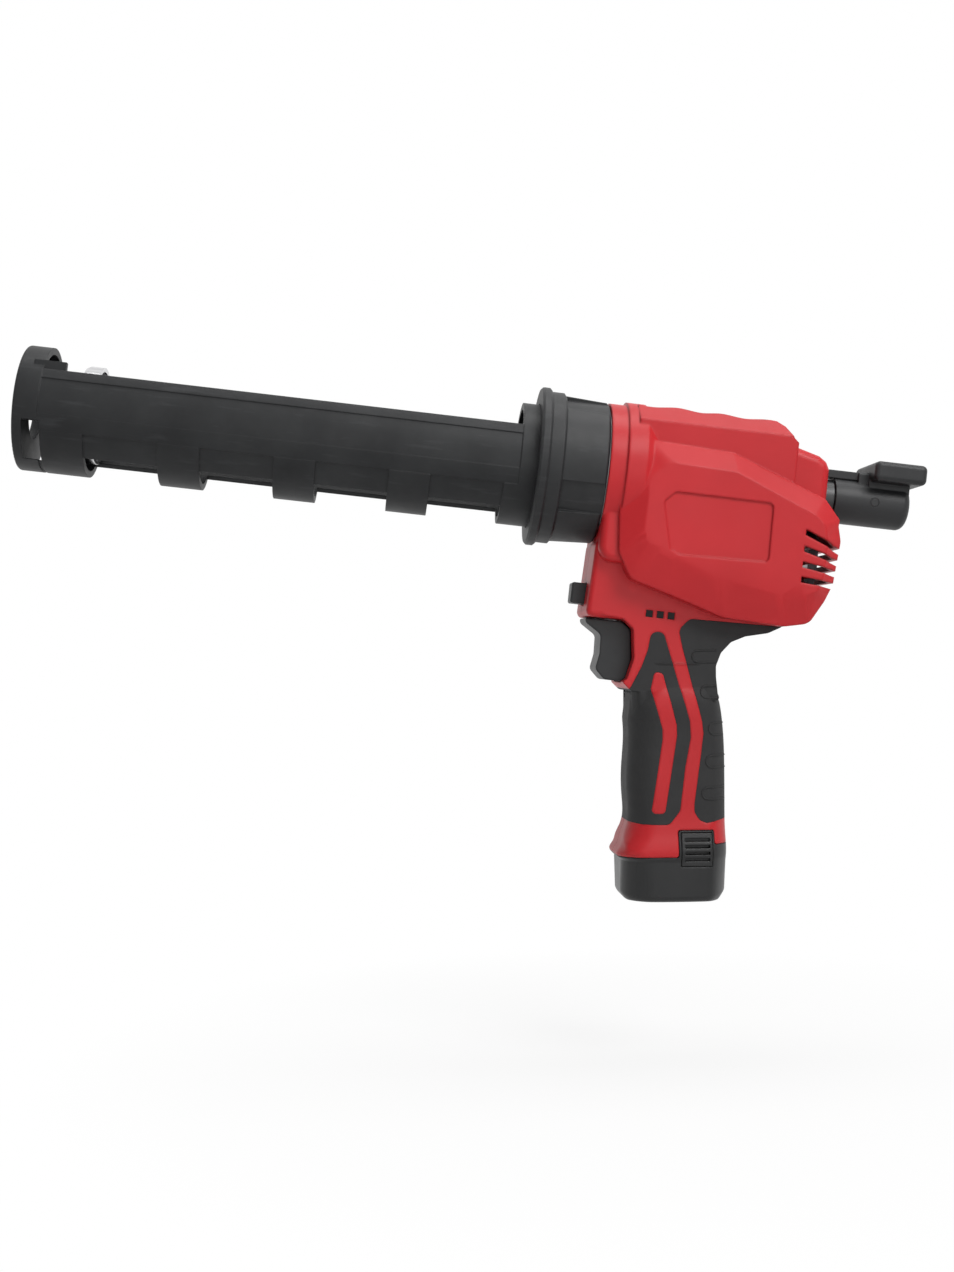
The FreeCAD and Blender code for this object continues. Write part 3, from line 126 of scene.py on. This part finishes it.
# The floor lies low enough for the battery to slide out without sinking into it
battery_slide = next(joint for joint in record["behaviour"]["joints"] if joint["name"] == "battery_slide")
FLOOR_CLEARANCE = 0.004
FLOOR_DROP = max(battery_slide["range_m"]) + FLOOR_CLEARANCE
FLOOR_SPAN = 4.0
FLOOR_CORNERS = ((-1, -1), (1, -1), (1, 1), (-1, 1))

# The floor glows less near its middle, so that a faint shadow of the object shows there
PAPER_WHITE = (0.88, 0.88, 0.88, 1.0)
PURE_WHITE = (1.0, 1.0, 1.0, 1.0)
GLOW_NEAR = 0.84
GLOW_FAR = 1.0
GLOW_BAND = (0.04, 0.30)

# Strength of the even light that comes from all sides
ROOM_LIGHT = 0.22

# The camera stands level with the grip, beside the barrel, and turns with the photograph's tilt
EYE = Vector((0.176, -0.78, -0.098))
TARGET = Vector((0.2193, 0.0, -0.0842))
CAMERA_LEAN = math.radians(6.16)
LENS_MM = 46.1

# Grain and sheen of the mouldings. A band holds the two values between which a change runs
WHOLE_BAND = (0.0, 1.0)
MOTTLE_BAND = (0.32, 0.70)
SCUFF_BAND = (0.58, 0.76)
SCUFF_STRENGTH = 0.35
SCUFF_SCALE = 260.0
SCUFF_STRETCH = (0.16, 1.0, 1.0)
GREY_SCUFF = (0.05, 0.052, 0.055)
SHEEN_FINENESS = 3.0
MOULDED_SMOOTHER = 0.06
MOULDED_ROUGHER = 0.08
FINE_SCALE = 2600.0
FINE_DEPTH = 0.0003
COARSE_SCALE = 320.0
COARSE_DEPTH = 0.0005
COARSE_SHARE = 0.35

# Lay of the metals: how its noise is stretched, and how strongly it shows
EVEN_LAY = (1.0, 1.0, 1.0)
TURNED_LAY = (0.1, 1.0, 1.0)
DRAWN_LAY = (1.0, 0.04, 0.04)
CUT_LAY = (1.0, 0.1, 1.0)
LAY_BAND = (0.30, 0.72)
LAY_STRENGTH = 0.12
LAY_DEPTH = 0.0002
TARNISH_SCALE = 90.0
METAL_SMOOTHER = 0.05
METAL_ROUGHER = 0.09

# Samples of the rounded edges, and the mix node's sockets for colours, whose names aren't unique
EDGE_SAMPLES = 6
MIX_COLOUR_A = 6
MIX_COLOUR_B = 7
MIX_COLOUR_OUT = 2


# Node helpers for materials


def new_material(name):
    """A material with nothing in its node tree but the output."""
    mat = bpy.data.materials.new(name)
    mat.use_nodes = True
    tree = mat.node_tree
    tree.nodes.clear()
    out = tree.nodes.new("ShaderNodeOutputMaterial")
    return mat, tree, out


def new_surface(name):
    """A material with one principled shader on its output."""
    mat, tree, out = new_material(name)
    shader = tree.nodes.new("ShaderNodeBsdfPrincipled")
    tree.links.new(shader.outputs["BSDF"], out.inputs["Surface"])
    return mat, tree, shader


def noise(tree, scale, detail, stretch=None):
    """Noise in the object's own coordinates, stretched along the axes if asked."""
    coords = tree.nodes.new("ShaderNodeTexCoord")
    tex = tree.nodes.new("ShaderNodeTexNoise")
    tex.inputs["Scale"].default_value = scale
    tex.inputs["Detail"].default_value = detail
    source = coords.outputs["Object"]
    if stretch is not None:
        mapping = tree.nodes.new("ShaderNodeMapping")
        mapping.inputs["Scale"].default_value = stretch
        tree.links.new(source, mapping.inputs["Vector"])
        source = mapping.outputs["Vector"]
    tree.links.new(source, tex.inputs["Vector"])
    return tex.outputs["Fac"]


def ramp(tree, value, band, dark, light):
    """A colour that goes from dark to light over the band."""
    node = tree.nodes.new("ShaderNodeValToRGB")
    first, last = node.color_ramp.elements
    first.position, last.position = band
    first.color = (*dark, 1.0)
    last.color = (*light, 1.0)
    tree.links.new(value, node.inputs["Fac"])
    return node.outputs["Color"]


def span(tree, value, low, high, band=WHOLE_BAND):
    """A value that goes from low to high over the band."""
    start, end = band
    node = tree.nodes.new("ShaderNodeMapRange")
    node.inputs["From Min"].default_value = start
    node.inputs["From Max"].default_value = end
    node.inputs["To Min"].default_value = low
    node.inputs["To Max"].default_value = high
    tree.links.new(value, node.inputs["Value"])
    return node.outputs["Result"]


def tinted(tree, factor, colour, tint):
    """A colour that turns to a fixed tint where the factor is high."""
    node = tree.nodes.new("ShaderNodeMix")
    node.data_type = "RGBA"
    node.inputs[MIX_COLOUR_B].default_value = (*tint, 1.0)
    tree.links.new(factor, node.inputs["Factor"])
    tree.links.new(colour, node.inputs[MIX_COLOUR_A])
    return node.outputs[MIX_COLOUR_OUT]


def bumps(tree, shader, heights, rounding):
    """Chain bump maps of (height, strength, distance) over edges rounded in the shading."""
    edge = tree.nodes.new("ShaderNodeBevel")
    edge.samples = EDGE_SAMPLES
    edge.inputs["Radius"].default_value = rounding
    normal = edge.outputs["Normal"]
    for height, strength, distance in heights:
        node = tree.nodes.new("ShaderNodeBump")
        node.inputs["Strength"].default_value = strength
        node.inputs["Distance"].default_value = distance
        tree.links.new(height, node.inputs["Height"])
        tree.links.new(normal, node.inputs["Normal"])
        normal = node.outputs["Normal"]
    tree.links.new(normal, shader.inputs["Normal"])


def moulded(name, dark, light, rough, grain, rounding, mottle=50.0, shine=0.5, scuffs=None):
    """A moulded plastic with grain, faint mottling and, if scuffs is a colour, marks of use."""
    mat, tree, shader = new_surface(name)
    patches = noise(tree, scale=mottle, detail=5.0)
    colour = ramp(tree, patches, band=MOTTLE_BAND, dark=dark, light=light)
    if scuffs is not None:
        marks = noise(tree, scale=SCUFF_SCALE, detail=6.0, stretch=SCUFF_STRETCH)
        worn = span(tree, marks, low=0.0, high=SCUFF_STRENGTH, band=SCUFF_BAND)
        colour = tinted(tree, factor=worn, colour=colour, tint=scuffs)
    tree.links.new(colour, shader.inputs["Base Color"])
    sheen = noise(tree, scale=mottle * SHEEN_FINENESS, detail=4.0)
    roughness = span(tree, sheen, low=rough - MOULDED_SMOOTHER, high=rough + MOULDED_ROUGHER)
    tree.links.new(roughness, shader.inputs["Roughness"])
    shader.inputs["Specular IOR Level"].default_value = shine
    fine = noise(tree, scale=FINE_SCALE, detail=2.0)
    coarse = noise(tree, scale=COARSE_SCALE, detail=3.0)
    heights = [(fine, grain, FINE_DEPTH), (coarse, grain * COARSE_SHARE, COARSE_DEPTH)]
    bumps(tree, shader, heights, rounding)
    return mat


def metal(name, dark, light, rough, lay, rounding, scale=500.0):
    """A metal with a drawn, turned or cut lay, or an even one."""
    mat, tree, shader = new_surface(name)
    lines = noise(tree, scale=scale, detail=5.0, stretch=lay)
    colour = ramp(tree, lines, band=LAY_BAND, dark=dark, light=light)
    tree.links.new(colour, shader.inputs["Base Color"])
    tarnish = noise(tree, scale=TARNISH_SCALE, detail=4.0)
    roughness = span(tree, tarnish, low=rough - METAL_SMOOTHER, high=rough + METAL_ROUGHER)
    tree.links.new(roughness, shader.inputs["Roughness"])
    shader.inputs["Metallic"].default_value = 1.0
    bumps(tree, shader, [(lines, LAY_STRENGTH, LAY_DEPTH)], rounding)
    return mat


SLOT_MATERIALS = {
    "red_housing": moulded(
        "red_housing", dark=(0.43, 0.011, 0.015), light=(0.49, 0.014, 0.019),
        rough=0.40, grain=0.10, rounding=0.0016, mottle=22.0, shine=0.28),
    "black_nylon": moulded(
        "black_nylon", dark=(0.007, 0.0075, 0.0085), light=(0.016, 0.017, 0.018),
        rough=0.48, grain=0.10, rounding=0.0008, mottle=45.0, shine=0.28, scuffs=GREY_SCUFF),
    "black_collar": moulded(
        "black_collar", dark=(0.012, 0.0125, 0.0135), light=(0.019, 0.0195, 0.0205),
        rough=0.50, grain=0.10, rounding=0.0008, mottle=60.0, shine=0.30, scuffs=GREY_SCUFF),
    "grip_rubber": moulded(
        "grip_rubber", dark=(0.014, 0.014, 0.0145), light=(0.019, 0.019, 0.0195),
        rough=0.66, grain=0.22, rounding=0.0006, shine=0.32),
    "dark_plastic": moulded(
        "dark_plastic", dark=(0.011, 0.0115, 0.0125), light=(0.017, 0.0175, 0.0185),
        rough=0.44, grain=0.12, rounding=0.0008, shine=0.32),
    "battery_black": moulded(
        "battery_black", dark=(0.010, 0.0103, 0.011), light=(0.0145, 0.015, 0.0155),
        rough=0.34, grain=0.08, rounding=0.0010, shine=0.32),
    "dark_bush": moulded(
        "dark_bush", dark=(0.008, 0.008, 0.009), light=(0.012, 0.012, 0.013),
        rough=0.40, grain=0.05, rounding=0.0004),
    "gearbox_grey": moulded(
        "gearbox_grey", dark=(0.10, 0.10, 0.11), light=(0.14, 0.14, 0.15),
        rough=0.5, grain=0.10, rounding=0.0006, mottle=40.0),
    "board_green": moulded(
        "board_green", dark=(0.010, 0.055, 0.022), light=(0.016, 0.075, 0.03),
        rough=0.35, grain=0.05, rounding=0.0002, mottle=120.0),
    "gauge_dark": moulded(
        "gauge_dark", dark=(0.004, 0.003, 0.003), light=(0.007, 0.006, 0.006),
        rough=0.30, grain=0.02, rounding=0.0003, mottle=80.0, shine=0.12),
    "cell_sleeve": moulded(
        "cell_sleeve", dark=(0.02, 0.07, 0.20), light=(0.03, 0.09, 0.25),
        rough=0.3, grain=0.03, rounding=0.0004, mottle=40.0),
    "rod_steel": metal(
        "rod_steel", dark=(0.36, 0.36, 0.37), light=(0.55, 0.55, 0.56),
        rough=0.28, lay=DRAWN_LAY, rounding=0.0003),
    "piston_steel": metal(
        "piston_steel", dark=(0.52, 0.52, 0.53), light=(0.68, 0.68, 0.69),
        rough=0.2, lay=TURNED_LAY, rounding=0.0005),
    "gear_steel": metal(
        "gear_steel", dark=(0.30, 0.30, 0.31), light=(0.44, 0.44, 0.45),
        rough=0.36, lay=CUT_LAY, rounding=0.0002),
    "screw_steel": metal(
        "screw_steel", dark=(0.10, 0.10, 0.105), light=(0.17, 0.17, 0.175),
        rough=0.4, lay=EVEN_LAY, rounding=0.0003),
    "cast_alloy": metal(
        "cast_alloy", dark=(0.42, 0.42, 0.43), light=(0.54, 0.54, 0.55),
        rough=0.46, lay=EVEN_LAY, rounding=0.0006, scale=260.0),
    "bush_bronze": metal(
        "bush_bronze", dark=(0.34, 0.20, 0.07), light=(0.46, 0.29, 0.11),
        rough=0.42, lay=EVEN_LAY, rounding=0.0003),
    "motor_steel": metal(
        "motor_steel", dark=(0.45, 0.45, 0.46), light=(0.58, 0.58, 0.59),
        rough=0.32, lay=TURNED_LAY, rounding=0.0005),
    "contact_brass": metal(
        "contact_brass", dark=(0.50, 0.36, 0.12), light=(0.64, 0.48, 0.18),
        rough=0.3, lay=EVEN_LAY, rounding=0.0002),
}


# Pieces: every CAD node takes its slot's material, and the moulded ones that show get a welded skin


def set_material(obj, mat):
    """Give an object one material."""
    obj.data.materials.clear()
    obj.data.materials.append(mat)


def add_object(name, data):
    """Make an object of some data and put it in the scene."""
    obj = bpy.data.objects.new(name, data)
    scene.collection.objects.link(obj)
    return obj


def ease(value, start, full):
    """0 up to start, 1 from full on, with a smooth run between."""
    share = min(max((value - start) / (full - start), 0.0), 1.0)
    return share * share * (3.0 - 2.0 * share)


def hump(value, start, full, fade, end):
    """1 from full to fade, 0 up to start and from end on, with smooth runs between."""
    return ease(value, start, full) * (1.0 - ease(value, fade, end))


def handle_place(along, height):
    """A point of the middle plane, given in the handle's frame."""
    return FOOT + ALONG * along + UP * height


def slimmed(point):
    """Where a point of the handle or of the motor end goes to meet the photograph's outline."""
    along = (point - FOOT).dot(ALONG)
    height = (point - FOOT).dot(UP)
    rear = HANDLE_TRIM + (SADDLE_TRIM - HANDLE_TRIM) * ease(height, *SADDLE_RISE)
    rear *= ease(along, *REAR_RUN) * (1.0 - ease(height, *SADDLE_FADE))
    foot = FOOT_TRIM * hump(height, *FOOT_HEIGHTS) * ease(-along, *FOOT_FRONT)
    throat = THROAT_TRIM * hump(height, *THROAT_HEIGHTS) * ease(-along, *THROAT_FRONT)
    motor = MOTOR_TRIM * ease(point.x, *MOTOR_RUN)
    motor *= 1.0 - DECK_TRIM_LOSS * ease(point.z, *DECK_RISE)
    return point + ALONG * (foot + throat - rear) - Vector((motor, 0.0, 0.0))


def rounded_base(point):
    """Where a point of the battery goes: slimmed like the handle, its base rounder towards the bottom."""
    along = (point - FOOT).dot(ALONG)
    height = (point - FOOT).dot(UP)
    low = 1.0 - ease(height, 0.0, BASE_HEIGHT)
    end = min(abs(along - BASE_MIDDLE) / BASE_HALF, 1.0)
    moved = slimmed(point)
    moved.y *= 1.0 - BASE_ROUND * low * end ** BASE_ROUND_POWER
    lift = TOE_LIFT * ease(end, *TOE_RUN) * (1.0 - ease(height, 0.0, TOE_HEIGHT))
    return moved + UP * lift


def skin(name, shape=None, cuts=()):
    """A welded copy of a CAD node that stands for it, cut across at some places and moved by shape."""
    mesh = nodes[name].data.copy()
    mesh.name = name + "_skin"
    work = bmesh.new()
    work.from_mesh(mesh)
    bmesh.ops.remove_doubles(work, verts=work.verts, dist=WELD)
    for along in cuts:
        place = handle_place(along, height=0.0)
        geometry = list(work.verts) + list(work.edges) + list(work.faces)
        bmesh.ops.bisect_plane(work, geom=geometry, dist=WELD, plane_co=place, plane_no=ALONG)
    if shape is not None:
        for vertex in work.verts:
            vertex.co = shape(vertex.co)
    work.to_mesh(mesh)
    work.free()
    # The normals that came with the CAD mesh don't fit faces that are welded and moved
    mesh.attributes.remove(mesh.attributes["custom_normal"])
    mesh.shade_smooth()
    mesh.set_sharp_from_angle(angle=SHARP)
    obj = add_object(name + "_skin", mesh)
    even = obj.modifiers.new("even", "WEIGHTED_NORMAL")
    even.keep_sharp = True
    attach(obj, body_of[name])
    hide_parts(name)
    set_material(obj, SLOT_MATERIALS[slot_of[name]])
    return obj


for name, obj in nodes.items():
    set_material(obj, SLOT_MATERIALS[slot_of[name]])

# The pin's ends are dark like the sleeve they sit in
set_material(nodes["handle_pin"], SLOT_MATERIALS[slot_of["pull_handle"]])

PLAIN_SKINS = ("cartridge_barrel", "lock_collar", "pull_handle", "trigger", "front_button")
SLIM_SKINS = (
    "housing_left", "housing_right", "grip_left", "grip_right", "housing_screws",
    "motor_can", "motor_end_cap", "motor_shaft", "battery_cells", "battery_cap",
    "battery_latch_left", "battery_latch_right",
)
for name in PLAIN_SKINS:
    skin(name)
slim_skins = {name: skin(name, shape=slimmed) for name in SLIM_SKINS}
# Even cuts give the battery's long flat sides points that can follow the round base
base_cuts = [BASE_MIDDLE + BASE_HALF * (2.0 * step / BASE_CUTS - 1.0) for step in range(1, BASE_CUTS)]
skin("battery_case", shape=rounded_base, cuts=base_cuts)


# Relief on the rubber panels: raised marks and the web under the trigger surround


def search_tree(panel):
    """The faces of a panel, for rays to be cast at."""
    probe = bmesh.new()
    probe.from_mesh(panel.data)
    tree = BVHTree.FromBMesh(probe)
    probe.free()
    return tree


def outer_point(tree, side, along, height):
    """Where a panel's outer face lies beside a place of the middle plane, and its normal, or None twice."""
    start = handle_place(along, height) + ACROSS * side * RAY_START
    place, normal, _, _ = tree.ray_cast(start, ACROSS * -side)
    return place, normal


def mark_path(tip, end, height):
    """Points of one mark in the handle's frame: along its top edge, round the tip and back."""
    bend = tip + MARK_HALF_HEIGHT
    runs = [bend + (end - bend) * (1.0 - step / MARK_STEPS) for step in range(MARK_STEPS)]
    turns = [math.pi * (0.5 + step / MARK_STEPS) for step in range(MARK_STEPS + 1)]
    top = [(along, height + MARK_HALF_HEIGHT) for along in runs]
    tip_arc = [
        (bend + MARK_HALF_HEIGHT * math.cos(turn), height + MARK_HALF_HEIGHT * math.sin(turn))
        for turn in turns
    ]
    bottom = [(along, height - MARK_HALF_HEIGHT) for along in reversed(runs)]
    return top + tip_arc + bottom


def add_bead(work, laid):
    """Add a round bead, closed at both ends, along places on a face that come with their normals."""
    turns = [2.0 * math.pi * step / BEAD_SIDES for step in range(BEAD_SIDES)]
    rings = []
    for index, (place, normal) in enumerate(laid):
        before = laid[max(index - 1, 0)][0]
        after = laid[min(index + 1, len(laid) - 1)][0]
        sideways = normal.cross(after - before).normalized()
        spokes = [normal * math.cos(turn) + sideways * math.sin(turn) for turn in turns]
        rings.append([work.verts.new(place + spoke * MARK_RADIUS) for spoke in spokes])
    for first, second in zip(rings, rings[1:]):
        for step in range(BEAD_SIDES):
            after_step = (step + 1) % BEAD_SIDES
            work.faces.new((first[step], first[after_step], second[after_step], second[step]))
    work.faces.new(rings[0][::-1])
    work.faces.new(rings[-1])


def grip_marks(tree, side):
    """The marks of one side as round beads laid on the panel's outer face."""
    work = bmesh.new()
    for tip, end, height in MARK_PLACES:
        found = [outer_point(tree, side, along, high) for along, high in mark_path(tip, end, height)]
        add_bead(work, [(place, normal) for place, normal in found if place is not None])
    return work


def grip_web(tree, side):
    """The web of one side as a closed sheet over the step in the panel."""
    flank_place, _ = outer_point(tree, side, FLANK_ALONG, FLANK_HEIGHT)
    work = bmesh.new()
    outer = []
    inner = []
    for column in range(WEB_STEPS + 1):
        along = WEB_FRONT + (WEB_REAR - WEB_FRONT) * column / WEB_STEPS
        low_place, _ = outer_point(tree, side, along, WEB_LOW)
        low = abs(low_place.y)
        rise = max((abs(flank_place.y) - low) * ease(along, *WEB_RUN), 0.0)
        for row in range(WEB_STEPS + 1):
            height = WEB_LOW + (WEB_HIGH - WEB_LOW) * row / WEB_STEPS
            across = low + rise * ease(height, WEB_LOW, WEB_HIGH)
            middle = handle_place(along, height)
            outer.append(work.verts.new(middle + ACROSS * side * (across + WEB_LIFT)))
            inner.append(work.verts.new(middle + ACROSS * side * (across - WEB_DEPTH)))
    stride = WEB_STEPS + 1
    for column in range(WEB_STEPS):
        for row in range(WEB_STEPS):
            corner = column * stride + row
            square = (corner, corner + 1, corner + stride + 1, corner + stride)
            work.faces.new([outer[index] for index in square])
            work.faces.new([inner[index] for index in reversed(square)])
    # Once round the sheet's edge, to close it between its outer and inner face
    rim = [column * stride for column in range(stride)]
    rim += [WEB_STEPS * stride + row for row in range(1, stride)]
    rim += [column * stride + WEB_STEPS for column in range(WEB_STEPS - 1, -1, -1)]
    rim += list(range(WEB_STEPS - 1, 0, -1))
    for first, second in zip(rim, rim[1:] + rim[:1]):
        work.faces.new((outer[first], outer[second], inner[second], inner[first]))
    return work


def relief_object(name, work, sharp):
    """Make an object of a finished relief, with all its faces turned outwards."""
    bmesh.ops.recalc_face_normals(work, faces=work.faces)
    mesh = bpy.data.meshes.new(name)
    work.to_mesh(mesh)
    work.free()
    mesh.shade_smooth()
    mesh.set_sharp_from_angle(angle=sharp)
    return add_object(name, mesh)


for name, side in (("grip_left", -1.0), ("grip_right", 1.0)):
    panel = slim_skins[name]
    panel_tree = search_tree(panel)
    marks = relief_object(panel.name + "_marks", grip_marks(panel_tree, side), sharp=MARK_SHARP)
    web = relief_object(panel.name + "_web", grip_web(panel_tree, side), sharp=WEB_SHARP)
    for relief in (marks, web):
        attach(relief, body_of[name])
        set_material(relief, SLOT_MATERIALS[slot_of[name]])


# Floor, light and camera


def background_rays(tree):
    """1 for rays that look at the background: camera, mirror and glass rays."""
    path = tree.nodes.new("ShaderNodeLightPath")
    total = path.outputs["Is Camera Ray"]
    for name in ("Is Glossy Ray", "Is Transmission Ray"):
        node = tree.nodes.new("ShaderNodeMath")
        node.operation = "MAXIMUM"
        tree.links.new(total, node.inputs[0])
        tree.links.new(path.outputs[name], node.inputs[1])
        total = node.outputs[0]
    return total


def mix_surfaces(tree, out, factor, first, second):
    """Mix two shaders on an output: the first where the factor is 0, the second where it is 1."""
    mix = tree.nodes.new("ShaderNodeMixShader")
    tree.links.new(factor, mix.inputs["Fac"])
    tree.links.new(first, mix.inputs[1])
    tree.links.new(second, mix.inputs[2])
    tree.links.new(mix.outputs["Shader"], out.inputs["Surface"])


def white_floor(name):
    """Matt white paper that reads as plain white, with a faint shadow round the object."""
    mat, tree, out = new_material(name)
    glow = tree.nodes.new("ShaderNodeEmission")
    paper = tree.nodes.new("ShaderNodeBsdfDiffuse")
    paper.inputs["Color"].default_value = PAPER_WHITE
    coords = tree.nodes.new("ShaderNodeTexCoord")
    distance = tree.nodes.new("ShaderNodeVectorMath")
    distance.operation = "LENGTH"
    tree.links.new(coords.outputs["Object"], distance.inputs[0])
    share = tree.nodes.new("ShaderNodeMath")
    share.operation = "MULTIPLY"
    tree.links.new(background_rays(tree), share.inputs[0])
    glow_share = span(tree, distance.outputs["Value"], low=GLOW_NEAR, high=GLOW_FAR, band=GLOW_BAND)
    tree.links.new(glow_share, share.inputs[1])
    mix_surfaces(tree, out, factor=share.outputs[0], first=paper.outputs["BSDF"],
                 second=glow.outputs["Emission"])
    return mat


def white_room(name):
    """Even room light, with a background that reads as plain white."""
    world = bpy.data.worlds.new(name)
    world.use_nodes = True
    tree = world.node_tree
    tree.nodes.clear()
    out = tree.nodes.new("ShaderNodeOutputWorld")
    room = tree.nodes.new("ShaderNodeBackground")
    room.inputs["Color"].default_value = PURE_WHITE
    room.inputs["Strength"].default_value = ROOM_LIGHT
    white = tree.nodes.new("ShaderNodeBackground")
    white.inputs["Color"].default_value = PURE_WHITE
    mix_surfaces(tree, out, factor=background_rays(tree), first=room.outputs["Background"],
                 second=white.outputs["Background"])
    return world


def soft_box(name, place, aim, width, height, watts):
    """A rectangular lamp at a place, turned to its aim."""
    lamp = bpy.data.lights.new(name, "AREA")
    lamp.shape = "RECTANGLE"
    lamp.size = width
    lamp.size_y = height
    lamp.energy = watts
    obj = add_object(name, lamp)
    obj.location = place
    obj.rotation_euler = (Vector(aim) - Vector(place)).to_track_quat("-Z", "Y").to_euler()


floor_mesh = bpy.data.meshes.new("floor")
floor_points = [(ALONG * rearward + ACROSS * sideward) * FLOOR_SPAN for rearward, sideward in FLOOR_CORNERS]
floor_mesh.from_pydata(floor_points, [], [(0, 1, 2, 3)])
floor = add_object("floor", floor_mesh)
floor.location = FOOT - UP * FLOOR_DROP
set_material(floor, white_floor("floor"))

scene.world = white_room("studio")
soft_box("key", place=(0.68, -0.78, 0.83), aim=(0.27, 0.0, -0.05), width=0.6, height=0.5, watts=10.0)
soft_box("front", place=(0.40, -1.30, 0.12), aim=TARGET, width=0.9, height=0.6, watts=2.6)
soft_box("top", place=(0.25, 0.02, 1.0), aim=(0.25, 0.0, 0.0), width=0.9, height=0.35, watts=5.5)

camera_data = bpy.data.cameras.new("camera")
camera_data.lens = LENS_MM
camera = add_object("camera", camera_data)
look = (TARGET - EYE).normalized()
upright = Vector((-math.sin(CAMERA_LEAN), 0.0, math.cos(CAMERA_LEAN)))
right = look.cross(upright).normalized()
facing = Matrix((right, right.cross(look), -look)).transposed()
camera.matrix_world = Matrix.Translation(EYE) @ facing.to_4x4()
scene.camera = camera
